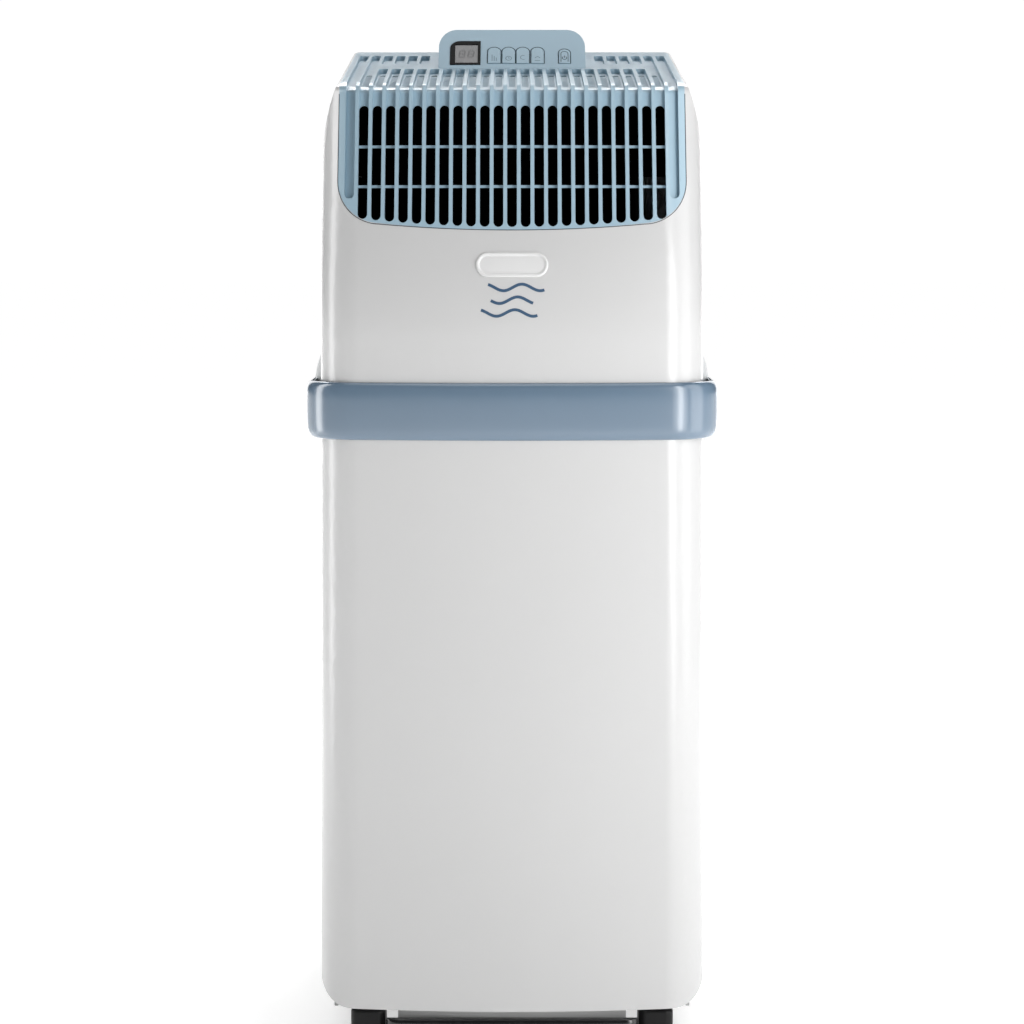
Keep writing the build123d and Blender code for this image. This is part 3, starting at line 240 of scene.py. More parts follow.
def woven(name, color, pitch=1.1 * MM):
    """Fine filter net: crossed threads with dark openings between them."""
    mat, tree, shader, place = new_material(name)
    axes = tree.nodes.new("ShaderNodeSeparateXYZ")
    tree.links.new(place, axes.inputs["Vector"])
    threads = []
    for axis in ("X", "Z"):
        sine = tree.nodes.new("ShaderNodeMath")
        sine.operation = "SINE"
        turn = tree.nodes.new("ShaderNodeMath")
        turn.operation = "MULTIPLY"
        turn.inputs[1].default_value = 2 * math.pi / pitch
        tree.links.new(axes.outputs[axis], turn.inputs[0])
        tree.links.new(turn.outputs[0], sine.inputs[0])
        threads.append(sine.outputs[0])
    top = tree.nodes.new("ShaderNodeMath")
    top.operation = "MAXIMUM"
    tree.links.new(threads[0], top.inputs[0])
    tree.links.new(threads[1], top.inputs[1])
    mask = remap(tree, top.outputs[0], 0.0, 1.0, 0.55, 0.8)
    hole = [c * 0.06 for c in color]
    tree.links.new(blend_colors(tree, mask, hole, color), shader.inputs["Base Color"])
    shader.inputs["Roughness"].default_value = 0.7
    bump(tree, shader, top.outputs[0], 0.15 * MM, 0.8)
    return mat


WHITE = (0.6, 0.6, 0.6)
LIGHT_BLUE = (0.34, 0.475, 0.565)
BAND_BLUE = (0.14, 0.205, 0.28)


def slot_materials():
    """One material for each of the record's slots."""
    return {
        "case_white": plastic("case_white", WHITE, 0.3, 900, 0.01, 0.004, coat=0.5,
                              coat_rough=0.2, uneven=0.02),
        "case_rear": plastic("case_rear", WHITE, 0.33, 900, 0.012, 0.005, coat=0.15, uneven=0.03),
        "cheek_white": plastic("cheek_white", (0.56, 0.575, 0.58), 0.6, 900, 0.012, 0.01, specular=0.12),
        "badge_white": plastic("badge_white", (0.72, 0.72, 0.72), 0.25, 900, 0.01, 0.02, coat=0.4),
        "grille_blue": plastic("grille_blue", LIGHT_BLUE, 0.33, 800, 0.012, 0.02, coat=0.2),
        "panel_blue": plastic("panel_blue", (0.35, 0.49, 0.585), 0.36, 1100, 0.018, 0.02, coat=0.1),
        "key_blue": plastic("key_blue", (0.38, 0.52, 0.61), 0.4, 1100, 0.02, 0.02),
        "band_blue": plastic("band_blue", BAND_BLUE, 0.22, 900, 0.005, 0.015, coat=0.95, coat_rough=0.16),
        # flap_blue is the grille's blue made lighter: painted light, so the flap in the shade under the top
        # slots still shows blue
        "flap_blue": plastic("flap_blue", (0.46, 0.58, 0.68), 0.45, 800, 0.02, 0.03),
        "pocket_grey": plastic("pocket_grey", (0.3, 0.31, 0.32), 0.5, 700, 0.03),
        "vent_grey": plastic("vent_grey", (0.5, 0.51, 0.52), 0.42, 800, 0.02),
        "collar_grey": plastic("collar_grey", (0.42, 0.43, 0.44), 0.4, 700, 0.02),
        # tray_grey is darker than the grey-white plastic of the base: painted shade of the strip set back
        # under the case's front edge
        "tray_grey": plastic("tray_grey", (0.44, 0.44, 0.44), 0.45, 600, 0.03),
        "rail_grey": plastic("rail_grey", (0.4, 0.41, 0.42), 0.5, 600, 0.02),
        "float_white": plastic("float_white", (0.75, 0.75, 0.73), 0.5, 500, 0.02),
        "filter_frame": plastic("filter_frame", (0.12, 0.18, 0.26), 0.45, 700, 0.02),
        "display_black": plastic("display_black", (0.004, 0.004, 0.0045), 0.3, 1200, 0.004, 0.05,
                                 specular=0.12),
        "display_glass": display_glass(),
        "circuit_green": circuit_board(),
        "chassis_black": plastic("chassis_black", (0.014, 0.014, 0.015), 0.2, 500, 0.015, 0.1, coat=0.5),
        "caster_black": plastic("caster_black", (0.006, 0.006, 0.0065), 0.4, 900, 0.03, 0.1, specular=0.25),
        "wheel_rubber": plastic("wheel_rubber", (0.022, 0.022, 0.023), 0.6, 500, 0.05, 0.15),
        "rubber_black": plastic("rubber_black", (0.025, 0.025, 0.026), 0.62, 500, 0.05, 0.15),
        "fan_black": plastic("fan_black", (0.002, 0.002, 0.0025), 0.9, 500, 0.02, 0.1, specular=0.02),
        "duct_black": plastic("duct_black", (0.001, 0.001, 0.001), 0.95, 500, 0.02, 0.1, specular=0.0),
        "pump_black": plastic("pump_black", (0.015, 0.015, 0.016), 0.3, 300, 0.05, 0.1, coat=0.3),
        "filter_net": woven("filter_net", (0.3, 0.34, 0.38)),
        "coil_aluminium": brushed_metal("coil_aluminium", (0.55, 0.56, 0.57), 0.4),
        # motor_steel's near-black is painted shade: the steel motors are darkened so that they sink into
        # the dark inside the case
        "motor_steel": brushed_metal("motor_steel", (0.05, 0.05, 0.052), 0.6),
        "box_steel": brushed_metal("box_steel", (0.45, 0.46, 0.47), 0.45),
        "screw_steel": brushed_metal("screw_steel", (0.6, 0.6, 0.6), 0.3),
        "capacitor_can": brushed_metal("capacitor_can", (0.62, 0.63, 0.64), 0.25),
        "copper": brushed_metal("copper", (0.72, 0.36, 0.2), 0.3),
    }


def display_glass():
    """Grey liquid-crystal window: smooth, slightly uneven tone."""
    mat, tree, shader, place = new_material("display_glass")
    tone = remap(tree, noise(tree, place, 60.0, 2.0), 0.0, 1.0)
    tree.links.new(blend_colors(tree, tone, (0.15, 0.15, 0.155), (0.19, 0.185, 0.19)),
                   shader.inputs["Base Color"])
    tree.links.new(remap(tree, tone, 0.1, 0.16, 0.0, 1.0), shader.inputs["Roughness"])
    shader.inputs["Coat Weight"].default_value = 0.6
    bump(tree, shader, noise(tree, place, 90.0, 1.0), 0.02 * MM, 0.4)
    return mat


def circuit_board():
    """Green solder mask with lighter tracks."""
    mat, tree, shader, place = new_material("circuit_green")
    cells = tree.nodes.new("ShaderNodeTexVoronoi")
    cells.feature = "DISTANCE_TO_EDGE"
    cells.inputs["Scale"].default_value = 160.0
    tree.links.new(place, cells.inputs["Vector"])
    mask = remap(tree, cells.outputs["Distance"], 1.0, 0.0, 0.02, 0.06)
    tree.links.new(blend_colors(tree, mask, (0.01, 0.09, 0.04), (0.03, 0.2, 0.08)),
                   shader.inputs["Base Color"])
    shader.inputs["Roughness"].default_value = 0.35
    bump(tree, shader, mask, 0.04 * MM, 0.7)
    return mat


def printed(name, color):
    """Matt ink of a printed mark; also the matt dark of a seam and the painted shade of a groove."""
    return plastic(name, color, 0.55, 1500, 0.01, 0.08)


MATERIALS = slot_materials()


def finish_piece(obj, body, slot, *replaced):
    """Dresses a piece in its slot's material and ties it to its body."""
    obj.data.materials.clear()
    obj.data.materials.append(MATERIALS[slot])
    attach(obj, body)
    if replaced:
        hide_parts(*replaced)
    return obj


def finish_print_or_shade(obj, body, ink):
    """Dresses a printed line, or a dark line painted as the shade of a seam or groove, in its own ink and
    ties it to its body.
    """
    obj.data.materials.append(ink)
    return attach(obj, body)


# ---- CAD nodes that stay: better materials, softened edges ----
EDGE = {"front_shell": 0.5, "rear_shell": 0.5, "outlet_grille": 0.35, "control_housing": 0.8,
        "base_tray": 0.5, "intake_grille": 0.3, "condenser_grille": 0.3, "exhaust_collar": 0.5,
        "handle_pockets": 0.5, "cross_members": 0.6, "air_deflector": 0.3}
PLAIN_EDGE = 0.25             # edge width of every other node, in millimetres like EDGE
EDGE_ANGLE = 32               # a corner sharper than this, in degrees, gets a bevel


def dress_cad_nodes():
    """Gives each CAD node its slot's material, a small bevel and even shading."""
    for name, obj in NODES.items():
        slot = obj.data.materials[0].name
        obj.data.materials[0] = MATERIALS[slot]
        weld = obj.modifiers.new("weld", "WELD")
        weld.merge_threshold = 1e-6
        soft = obj.modifiers.new("soft_edges", "BEVEL")
        soft.width = EDGE.get(name, PLAIN_EDGE) * MM
        soft.segments = 2
        soft.limit_method = "ANGLE"
        soft.angle_limit = math.radians(EDGE_ANGLE)
        soft.use_clamp_overlap = True
        soft.harden_normals = False
        even = obj.modifiers.new("even_normals", "WEIGHTED_NORMAL")
        even.keep_sharp = False
        even.weight = 80


# ---- handle ----
BAND_THICK = 6.6 * MM         # thickness of the band at the sides
BAND_BOW = BOW + 5 * MM       # plan radius of its front
BAND_CORNERS = (42 * MM, 34 * MM)     # plan radius of its corners, outside and inside
SHELF_LEAD = 26 * MM          # the fairing runs this far ahead of its CAD solid
SHELF_TAPER = 60 * MM         # length over which the fairing widens at the front
HEEL_TAPER = 26 * MM          # and narrows at the back
FAIRING_END = 1 * MM          # both tapers reach zero this far past the ends
FAIRING_ROUND = 12 * MM       # height over which it swells below its top and above its foot
FAIRING_ROOT = 2 * MM         # its back lies this deep in the case's side
FAIRING_INSET = 0.3 * MM      # and its thinnest edge this deep
FAIRING_CLEAR = 0.1 * MM      # taken off its reach, to stay inside its CAD solid
FLAT_FOOT = 40 * MM           # a foot this far below the bottom leaves a flat underside
BAND_END_GAP = 0.3 * MM       # between the band's end and the heel
SHELF_OVERLAP = 4 * MM        # the shelf's flat underside is this far below the band's top


def half_outline(half, front, bow, corner, end_y):
    """Right half of the case's plan: bowed front, round corner, straight side."""
    drop = math.sqrt((bow - corner) ** 2 - (half - corner) ** 2)
    centre = (half - corner, front + bow - drop)
    turn = math.asin((half - corner) / (bow - corner))
    points = []
    for i in range(15):
        a = turn * i / 14
        points.append((bow * math.sin(a), front + bow - bow * math.cos(a)))
    for i in range(1, 19):
        a = turn + (math.pi / 2 - turn) * i / 18
        points.append((centre[0] + corner * math.sin(a), centre[1] - corner * math.cos(a)))
    for i in range(1, 15):
        points.append((half, centre[1] + (end_y - centre[1]) * i / 14))
    return points


def whole_outline(*args):
    """The same outline from the left end to the right end."""
    right = half_outline(*args)
    left = [(-x, y) for x, y in reversed(right)]
    return left[:-1] + right


def band_section(half_height):
    """The band's section: share of its thickness and height, from the foot to the top."""
    steps = 22
    section = []
    for i in range(-steps, steps + 1):
        s = i / steps
        t = math.copysign(1 - (1 - abs(s)) ** 2, s)
        swell = math.sqrt(max(1 - abs(t) ** 7, 0.0)) * (1 - 0.1 * t * t)
        section.append((swell, t * half_height))
    return [(0.0, -half_height * 0.985)] + section[1:-1] + [(0.0, half_height * 0.985)]


def handle_band():
    """Glossy band: crowned face, soft edges and a flat back."""
    low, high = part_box("handle_band")
    outer = whole_outline(high.x, low.y, BAND_BOW, BAND_CORNERS[0], high.y)
    inner = whole_outline(high.x - BAND_THICK, FRONT_Y, BOW, BAND_CORNERS[1], high.y)
    middle = (high.z + low.z) / 2
    section = band_section((high.z - low.z) / 2)
    rings = []
    for (ox, oy), (ix, iy) in zip(outer, inner):
        rings.append([(ix + (ox - ix) * u, iy + (oy - iy) * u, middle + z) for u, z in section])
    band = make_object("handle_band_moulding", *loft(rings), smooth_deg=50)
    return finish_piece(band, "housing", "band_blue", "handle_band")


def handle_cheek(sign, name):
    """White fairing: a leaf-shaped shelf above the band and a rounded heel behind it."""
    low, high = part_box("handle_cheeks")
    band_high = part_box("handle_band")[1]
    root = CASE_HALF - FAIRING_ROOT
    reach = high.x - CASE_HALF - FAIRING_CLEAR
    front_end = low.y - SHELF_LEAD
    joint_y = band_high.y + BAND_END_GAP

    def swell(z, foot):
        rise = 1 - math.exp(-(high.z - z) / FAIRING_ROUND)
        t = max((foot + FAIRING_ROUND - z) / FAIRING_ROUND, 0.0)
        return rise * math.sqrt(max(1 - t ** 3, 0.0))

    def taper(y):
        a = min(max((y - (front_end - FAIRING_END)) / SHELF_TAPER, 0.0), 1.0)
        b = min(max((high.y + FAIRING_END - y) / HEEL_TAPER, 0.0), 1.0)
        return math.sqrt(1 - (1 - a) ** 2.2) * math.sqrt(1 - (1 - b) ** 2.2)

    def body_part(start, end, bottom, foot, count):
        """Closed stretch along the case; with foot far below bottom it ends in a flat face."""
        rings = []
        for k in range(count + 1):
            y = start + (end - start) * k / count
            scale = taper(y)
            ring = [(sign * root, y, bottom)]
            for i in range(25):
                z = bottom + (high.z - bottom) * i / 24
                ring.append((sign * (CASE_HALF - FAIRING_INSET + reach * scale * swell(z, foot)), y, z))
            ring.append((sign * root, y, high.z))
            rings.append(ring if sign > 0 else ring[::-1])
        return loft(rings)

    shelf_bottom = band_high.z - SHELF_OVERLAP
    shelf = body_part(front_end, joint_y, shelf_bottom, shelf_bottom - FLAT_FOOT, 40)
    heel = body_part(joint_y, high.y, low.z, low.z, 20)
    cheek = make_object(name, *merge([shelf, heel]), smooth_deg=40)
    return finish_piece(cheek, "housing", "cheek_white", "handle_cheeks")


# ---- seam around the outlet grille ----
SEAM_GAP = 0.1 * MM           # from the grille's edge to the middle of the seam
SEAM_WIDTH = 0.55 * MM
SEAM_PROUD = 0.12 * MM
SEAM_STOP = 6 * MM            # the seam ends this far below the brow
RAY_START = 50 * MM           # the rays that find the surface start this far in front of it


def seam_line():
    """The seam's path in x and z, from the left end round the foot to the right end."""
    low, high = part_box("outlet_grille")
    half = high.x + SEAM_GAP
    edge = half - GRILLE_CORNER
    foot = low.z - SEAM_GAP
    right = []
    for i in range(17):
        a = math.pi / 2 * i / 16
        rise = GRILLE_CORNER * (1 - math.cos(a))
        right.append((edge + GRILLE_CORNER * math.sin(a), foot + GRILLE_FOOT_RISE + rise))
    bottom = [(edge * k / 24, foot + GRILLE_FOOT_RISE * (k / 24) ** 2) for k in range(-24, 25)]
    corner_z = right[-1][1]
    up = [(half, corner_z + (BROW_Z - SEAM_STOP - corner_z) * k / 12) for k in range(1, 13)]
    left = [(-u, v) for u, v in reversed(right[1:] + up)]
    return left + bottom + right[1:] + up


def grille_seam():
    """Dark hairline where the blue grille meets the white front."""
    verts, faces = [], []
    for node in ("front_shell", "outlet_grille"):
        mesh = NODES[node].data
        base = len(verts)
        verts += [v.co.copy() for v in mesh.vertices]
        faces += [tuple(base + i for i in p.vertices) for p in mesh.polygons]
    skin = BVHTree.FromPolygons(verts, faces)

    def place(u, v, lift):
        start = Vector((u, FRONT_Y - RAY_START, v))
        hit, normal = skin.ray_cast(start, Vector((0, 1, 0)))[:2]
        return hit + normal * lift

    seam = make_object("grille_seam", *stroke(seam_line(), SEAM_WIDTH, place, SEAM_PROUD))
    return finish_print_or_shade(seam, "housing", printed("seam_shadow", (0.05, 0.06, 0.075)))


# ---- outlet vanes ----
VANE_Y = (-96.5 * MM, -27 * MM)       # the vanes' stretch of the channels' open floor
VANE_PITCH = 4.2 * MM
VANE_HALF = 2.25 * MM         # half a vane's length, across its channel
VANE_SINK = 5.1 * MM          # depth of a vane's foot below the top
VANE_RUN = 2.2 * MM           # from its foot back to its head, along the top
VANE_RISE = 1.5 * MM          # and up
VANE_HALF_THICK = 0.4 * MM
VANE_SIDE_CLEAR = 14 * MM     # no vane's middle is nearer to the grille's side than this


def outlet_vanes():
    """Small sloping vanes across the open floor of every channel on the top."""
    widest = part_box("outlet_grille")[1].x - VANE_SIDE_CLEAR
    slope = math.radians(TOP_SLOPE_DEG)
    along = Vector((0, math.cos(slope), math.sin(slope)))
    out = Vector((0, -math.sin(slope), math.cos(slope)))
    top = Vector((0, FRONT_Y + BROW_SETBACK, BROW_Z))
    first = VANE_Y[0] - top.y
    count = int((VANE_Y[1] - VANE_Y[0]) / VANE_PITCH)
    parts = []
    for column in range(-SLOT_COLUMNS, SLOT_COLUMNS + 1):
        x = column * SLOT_PITCH
        if abs(x) > widest:
            continue
        for k in range(count):
            foot = top + along * (first + k * VANE_PITCH) - out * VANE_SINK
            head = foot + along * VANE_RUN + out * VANE_RISE
            thick = (head - foot).normalized().cross(Vector((1, 0, 0))) * VANE_HALF_THICK
            profile = ((foot, 0.5), (foot.lerp(head, 0.15), 1.0), (foot.lerp(head, 0.8), 1.0), (head, 0.4))
            rings = []
            for centre, scale in profile:
                rings.append([centre + Vector((x + side * VANE_HALF, 0, 0)) + thick * face * scale
                              for side, face in ((-1, -1), (1, -1), (1, 1), (-1, 1))])
            parts.append(loft(rings))
    vanes = make_object("outlet_vanes", *merge(parts))
    return finish_piece(vanes, "housing", "grille_blue")


# ---- base bar ----
BAR_HALF = 91.5 * MM
BAR_Z = (12.5 * MM, 29.6 * MM)
BAR_BACK = 8 * MM             # its back and its face lie this far behind the case's front
BAR_FACE = 1.2 * MM
BAR_BOW = 1.3 * MM            # the face falls back this much towards its ends
BAR_END_ROUND = 4 * MM
BAR_FLAT = 0.55               # share of the bar's depth that is flat above and below


def base_bar():
    """Glossy black bar under the front edge, between the casters."""
    low_z, high_z = BAR_Z
    back = FRONT_Y + BAR_BACK
    middle = (low_z + high_z) / 2
    tall = (high_z - low_z) / 2
    rings = []
    for i in range(41):
        x = BAR_HALF * (-1 + 2 * i / 40)
        depth = FRONT_Y + BAR_FACE + BAR_BOW * (x / BAR_HALF) ** 2 - back
        end = min(1.0, (BAR_HALF - abs(x)) / BAR_END_ROUND)
        round_end = math.sqrt(max(1 - (1 - end) ** 2, 0.04))
        ring = [(x, back, low_z), (x, back, high_z)]
        for k in range(13):
            a = math.pi / 2 * (1 - k / 6)
            swell = BAR_FLAT + (1 - BAR_FLAT) * abs(math.cos(a)) ** 0.45
            lift = math.copysign(abs(math.sin(a)) ** 0.8, math.sin(a))
            ring.append((x, back + depth * swell * round_end, middle + tall * lift))
        rings.append(ring)
    bar = make_object("base_bar", *loft(rings), smooth_deg=50)
    return finish_piece(bar, "housing", "chassis_black")


# ---- badge and printed mark ----
def pill(half_w, half_h, count=18):
    """Outline of a pill around the origin."""
    straight = half_w - half_h
    right = arc(straight, 0.0, half_h, -90, 90, count)
    left = arc(-straight, 0.0, half_h, 90, 270, count)
    return right + left


BADGE_CLEAR = 0.2 * MM        # the plate stops twice this far below its CAD solid's top
BADGE_STEPS = ((0.0, -0.4), (0.0, 0.55), (0.25, 0.95), (0.7, 1.1), (1.5, 1.1), (1.95, 0.95),
               (2.3, 0.55), (2.8, 0.42), (4.5, 0.5), (7.0, 0.62))     # inset and height, mm


def badge():
    """Blank pill-shaped badge with a raised rim and a shallow dished field."""
    low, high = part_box("badge")
    half_w = (high.x - low.x) / 2
    half_h = (high.z - low.z) / 2 - BADGE_CLEAR
    middle = (high.z + low.z) / 2 - BADGE_CLEAR
    rings = []
    for inset, lift in BADGE_STEPS:
        ring = pill(half_w - inset * MM, half_h - inset * MM)
        rings.append([front_surface(u, middle + v, lift * MM) for u, v in ring][::-1])
    piece = make_object("badge_plate", *loft(rings), smooth_deg=50)
    return finish_piece(piece, "housing", "badge_white", "badge")


WAVES = ((20, -2), (15, 0), (20, 3))  # each wave's half-length and shift to the right, mm
WAVES_Z = 541 * MM            # middle of the lowest wave
WAVES_PITCH = 9 * MM
WAVE_LENGTH = 26 * MM
WAVE_HEIGHT = 2.3 * MM
WAVE_STROKE = 2.1 * MM
INK_PROUD = 0.06 * MM


def airflow_mark():
    """Three printed waves under the badge."""
    strokes = []
    for k, (half, shift) in enumerate(WAVES):
        points = []
        for i in range(49):
            u = (-half + 2 * half * i / 48) * MM
            v = WAVES_Z + WAVES_PITCH * k + WAVE_HEIGHT * math.sin(2 * math.pi * (u / WAVE_LENGTH) + 0.6)
            points.append((u + shift * MM, v))
        strokes.append(stroke(points, WAVE_STROKE, front_surface, INK_PROUD))
    mark = make_object("airflow_mark", *merge(strokes))
    return finish_print_or_shade(mark, "housing", printed("mark_ink", (0.035, 0.085, 0.16)))


# ---- control panel ----
KEY_BODIES = {"button_1": "key_1", "button_2": "key_2", "button_3": "key_3", "button_4": "key_4",
              "button_power": "key_power"}
KEY_LINE_GAP = 0.5 * MM       # from a key's side to the middle of its outline
KEY_LINE_RISE = 0.8 * MM      # the outline sits this far up the panel
KEY_LINE_WIDTH = 0.55 * MM
KEY_LINE_PROUD = 0.22 * MM


def sloping_face(node):
    """Middle, up and outward directions of a node's face that slopes to the front."""
    mesh = NODES[node].data
    sloping = [p for p in mesh.polygons if p.normal.y < -0.4 and p.normal.z > 0.4]
    normal = max(sloping, key=lambda p: p.area).normal.copy()
    level = max((p.center.dot(normal) for p in sloping if p.normal.dot(normal) > 0.999))
    top = [p for p in sloping if p.normal.dot(normal) > 0.999 and level - p.center.dot(normal) < 1e-4]
    low = Vector([min(mesh.vertices[i].co[k] for p in top for i in p.vertices) for k in range(3)])
    high = Vector([max(mesh.vertices[i].co[k] for p in top for i in p.vertices) for k in range(3)])
    return (low + high) / 2, normal.cross(Vector((1, 0, 0))), normal


def on_face(face, raised, sunk_back):
    """Makes place(u, v, lift) for strokes on a sloping face.

    raised is the level of a stroke's middle above the face, and below it if negative. The
    stroke's back lies lower than that level only with sunk_back.
    """
    middle, up, out = face

    def place(u, v, lift):
        above = lift if sunk_back else max(lift, 0)
        return middle + Vector((u, 0, 0)) + up * v + out * (raised + above)

    return place


def legend_strokes():
    """Generic marks for the five keys, in millimetres from the middle of each key."""
    return {
        "button_1": [([(-1.6, 0.5), (-1.6, -6.5)], False), ([(0.0, -1.0), (0.0, -6.5)], False),
                     ([(1.6, -2.8), (1.6, -6.5)], False)],
        "button_2": [(arc(0, -3.6, 2.2, 0, 360, 24)[:-1], True),
                     ([(0, -2.4), (0, -3.6), (0.9, -3.6)], False)],
        "button_3": [(arc(0.6, -2.6, 2.3, 70, 290, 18), False)],
        "button_4": [([(-2, -3.2), (0, -1.4), (2, -3.2)], False), ([(-2, -6), (2, -6)], False)],
        "button_power": [(arc(0, -2.2, 1.7, 125, 415, 24), False), ([(0, -2.0), (0, 0.4)], False),
                         ([(-2.7, -6.4), (-2.7, 2.4), *arc(0, 2.4, 2.7, 180, 0, 14), (2.7, -6.4)], False)],
    }


def half_length(node):
    """Half the length of a node's sloping face, measured up the slope."""
    middle, up, normal = sloping_face(node)
    mesh = NODES[node].data
    face = [p for p in mesh.polygons if p.normal.dot(normal) > 0.999]
    reach = [(mesh.vertices[i].co - middle).dot(up) for p in face for i in p.vertices]
    return (max(reach) - min(reach)) / 2


def key_outlines():
    """Painted shade of a moulded groove round each key: a dark line, open at the foot."""
    lines = []
    for node in KEY_BODIES:
        low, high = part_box(node)
        half = (high.x - low.x) / 2
        tall = half_length(node)
        r = half + KEY_LINE_GAP
        crown = tall - half + KEY_LINE_RISE
        line = [(-r, -tall), *arc(0.0, crown, r, 180, 0, 20), (r, -tall)]
        place = on_face(sloping_face(node), -KEY_PROUD, True)
        lines.append(stroke(line, KEY_LINE_WIDTH, place, KEY_LINE_PROUD))
    outline = make_object("key_outlines", *merge(lines))
    # the outline's dark ink is painted shade of the groove round each key
    return finish_print_or_shade(outline, "housing", printed("key_groove_painted_shade", (0.06, 0.095, 0.125)))


LEGEND_WIDTH = 0.5 * MM
POWER_LEGEND_WIDTH = 0.55 * MM
LEGEND_PROUD = 0.03 * MM
LEGEND_LEVEL = 0.02 * MM      # of a mark's back above the cap


def key_legends():
    """A mark on each key's cap; it moves with the key, and the power key's is darker."""
    ink = printed("legend_ink", (0.05, 0.075, 0.1))
    faint = printed("legend_faint_ink", (0.16, 0.22, 0.28))
    for node, marks in legend_strokes().items():
        place = on_face(sloping_face(node), LEGEND_LEVEL, False)
        dark = node == "button_power"
        width = POWER_LEGEND_WIDTH if dark else LEGEND_WIDTH
        strokes = []
        for points, closed in marks:
            line = [(u * MM, v * MM) for u, v in points]
            strokes.append(stroke(line, width, place, LEGEND_PROUD, closed))
        legend = make_object(f"legend_{KEY_BODIES[node]}", *merge(strokes))
        finish_print_or_shade(legend, KEY_BODIES[node], ink if dark else faint)


DIGIT_HALF_W = 2.0            # sizes of the display's figures, in millimetres
DIGIT_HALF_H = 3.4
DIGIT_PLACES = (-3.4, 3.4)
DIGIT_LEAN = 0.14             # sideways lean for each millimetre up
SEGMENT_WIDTH = 0.75
SEGMENT_PROUD = 0.02
SEGMENT_LEVEL = 0.03          # of a segment's back above the window
SEGMENT_GAP = (0.14, 0.1)     # share of a segment that each end gives up, across and up
SEGMENTS = (((-1, 1), (1, 1)), ((-1, 0), (1, 0)), ((-1, -1), (1, -1)), ((-1, 0), (-1, 1)),
            ((1, 0), (1, 1)), ((-1, -1), (-1, 0)), ((1, -1), (1, 0)))


def display_digits():
    """Unlit segments of a two-figure display on the window."""
    place = on_face(sloping_face("display_window"), SEGMENT_LEVEL * MM, False)
    strokes = []
    for centre in DIGIT_PLACES:
        for a, b in SEGMENTS:
            ends = []
            for (pu, pv), (qu, qv) in ((a, b), (b, a)):
                pu += SEGMENT_GAP[0] * (qu - pu)
                pv += SEGMENT_GAP[1] * (qv - pv)
                lean = DIGIT_LEAN * pv * DIGIT_HALF_H
                ends.append(((centre + pu * DIGIT_HALF_W + lean) * MM, pv * DIGIT_HALF_H * MM))
            strokes.append(stroke(ends, SEGMENT_WIDTH * MM, place, SEGMENT_PROUD * MM))
    digits = make_object("display_segments", *merge(strokes))
    return finish_print_or_shade(digits, "housing", printed("segment_ink", (0.13, 0.13, 0.135)))


# ---- stage, light and camera ----
FLOOR_HALF = 30.0             # metres
FLOOR_SQUARES = 24
FLOOR_GLOW_NEAR = 0.36        # glow of the floor under the object and away from it, which
FLOOR_GLOW_FAR = 0.92         # keeps the pale floor even towards the horizon
FLOOR_GLOW_REACH = (0.3, 1.4)         # distances between which the glow grows, metres
LAMP_HEIGHT = 0.9             # of the standing soft boxes' middles
LAMP_TALL = 1.9


def stage():
    """Pale floor that reaches far behind the object."""
    row = FLOOR_SQUARES + 1
    grid = np.linspace(-FLOOR_HALF, FLOOR_HALF, row)
    verts = [(x, y, 0.0) for y in grid for x in grid]
    faces = [(j * row + i, j * row + i + 1, (j + 1) * row + i + 1, (j + 1) * row + i)
             for j in range(FLOOR_SQUARES) for i in range(FLOOR_SQUARES)]
    floor = make_object("floor", verts, faces)
    mat, tree, shader, place = new_material("floor_paint")
    tone = remap(tree, noise(tree, place, 2.0, 3.0), 0.0, 1.0)
    tree.links.new(blend_colors(tree, tone, (0.9, 0.9, 0.9), (0.92, 0.92, 0.915)),
                   shader.inputs["Base Color"])
    shader.inputs["Roughness"].default_value = 0.7
    shader.inputs["Specular IOR Level"].default_value = 0.1
    shader.inputs["Emission Color"].default_value = (1.0, 1.0, 1.0, 1.0)
    far = tree.nodes.new("ShaderNodeVectorMath")
    far.operation = "LENGTH"
    tree.links.new(place, far.inputs[0])
    glow = remap(tree, far.outputs["Value"], FLOOR_GLOW_NEAR, FLOOR_GLOW_FAR, *FLOOR_GLOW_REACH)
    tree.links.new(glow, shader.inputs["Emission Strength"])
    bump(tree, shader, noise(tree, place, 300.0, 2.0), 0.05 * MM, 0.3)
    floor.data.materials.append(mat)


def studio_world(light, seen):
    """Even studio white: light is what falls on the object, seen is the background."""
    world = bpy.data.worlds.new("studio")
    bpy.context.scene.world = world
    world.use_nodes = True
    tree = world.node_tree
    tree.nodes.clear()
    out = tree.nodes.new("ShaderNodeOutputWorld")
    lit = tree.nodes.new("ShaderNodeBackground")
    back = tree.nodes.new("ShaderNodeBackground")
    mix = tree.nodes.new("ShaderNodeMixShader")
    path = tree.nodes.new("ShaderNodeLightPath")
    lit.inputs["Color"].default_value = (0.97, 0.985, 1.0, 1.0)
    lit.inputs["Strength"].default_value = light
    back.inputs["Strength"].default_value = seen
    back.inputs["Color"].default_value = (1.0, 1.0, 1.0, 1.0)
    tree.links.new(path.outputs["Is Camera Ray"], mix.inputs["Fac"])
    tree.links.new(lit.outputs["Background"], mix.inputs[1])
    tree.links.new(back.outputs["Background"], mix.inputs[2])
    tree.links.new(mix.outputs["Shader"], out.inputs["Surface"])


def softbox(name, place, target, size, energy):
    """Rectangular area light that faces target, in metres and watts."""
    light = bpy.data.lights.new(name, "AREA")
    light.shape = "RECTANGLE"
    light.size, light.size_y = size
    light.energy = energy
    obj = bpy.data.objects.new(name, light)
    bpy.context.scene.collection.objects.link(obj)
    obj.location = place
    obj.rotation_euler = (Vector(target) - Vector(place)).to_track_quat("-Z", "Y").to_euler()
    obj.visible_camera = False


def around(azimuth, distance, height):
    """Point on a circle round the object; azimuth 0 is in front, 90 on the right."""
    a = math.radians(azimuth)
    return (distance * math.sin(a), -distance * math.cos(a), height)


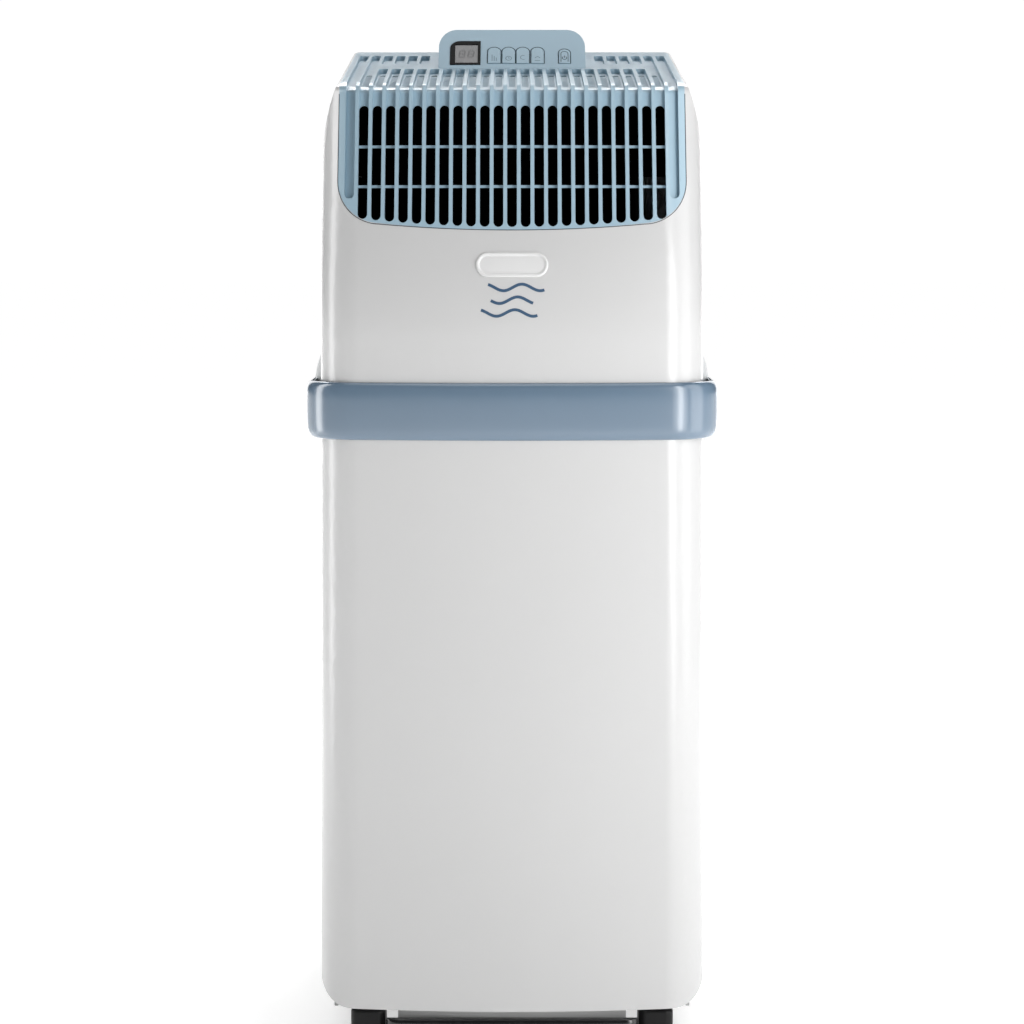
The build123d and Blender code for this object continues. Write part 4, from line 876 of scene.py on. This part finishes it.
def lights():
    """Soft boxes all round the object and two above it, with a broad weak sun."""
    studio_world(0.0, 1.02)
    target = (0.0, 0.0, 0.42)
    softbox("strip_right", around(38, 1.7, LAMP_HEIGHT), target, (0.3, LAMP_TALL), 9.5)
    softbox("panel_right", around(38, 2.3, LAMP_HEIGHT), target, (1.1, LAMP_TALL), 14.5)
    softbox("side_right", around(72, 1.7, LAMP_HEIGHT), target, (0.9, LAMP_TALL), 10.5)
    softbox("side_left", around(-92, 1.6, LAMP_HEIGHT), target, (0.5, LAMP_TALL), 13.0)
    softbox("back_left", around(-155, 1.7, LAMP_HEIGHT), target, (0.7, LAMP_TALL), 6.0)
    softbox("back_right", around(155, 1.7, LAMP_HEIGHT), target, (0.7, LAMP_TALL), 6.0)
    softbox("overhead_box", (0.1, -0.3, 2.2), (0.0, 0.0, 0.7), (1.2, 1.2), 5.0)
    softbox("top_back", (0.0, 1.3, 1.7), (0.0, 0.0, 0.72), (1.6, 0.5), 16.0)
    sun = bpy.data.lights.new("overhead", "SUN")
    sun.energy = 0.3
    sun.angle = math.radians(50)
    obj = bpy.data.objects.new("overhead", sun)
    bpy.context.scene.collection.objects.link(obj)


CAMERA_LENS = 96.79           # millimetres, on a sensor 36 mm wide
CAMERA_AWAY = 1.95            # metres in front of the case
CAMERA_HEIGHT = 0.5994
CAMERA_TILT = 5               # degrees below the horizon


def camera():
    """View from straight in front, looking a little downwards."""
    cam = bpy.data.cameras.new("camera")
    cam.sensor_width = 36.0
    cam.lens = CAMERA_LENS
    cam.shift_y = -0.04
    obj = bpy.data.objects.new("camera", cam)
    bpy.context.scene.collection.objects.link(obj)
    obj.location = (0.0, FRONT_Y - CAMERA_AWAY, CAMERA_HEIGHT)
    obj.rotation_euler = (math.radians(90 - CAMERA_TILT), 0, 0)
    bpy.context.scene.camera = obj
    bpy.context.scene.view_settings.view_transform = "Standard"


camera()
lights()
stage()
dress_cad_nodes()
handle_band()
handle_cheek(-1, "handle_fairing_left")
handle_cheek(1, "handle_fairing_right")
grille_seam()
outlet_vanes()
base_bar()
badge()
airflow_mark()
key_outlines()
key_legends()
display_digits()
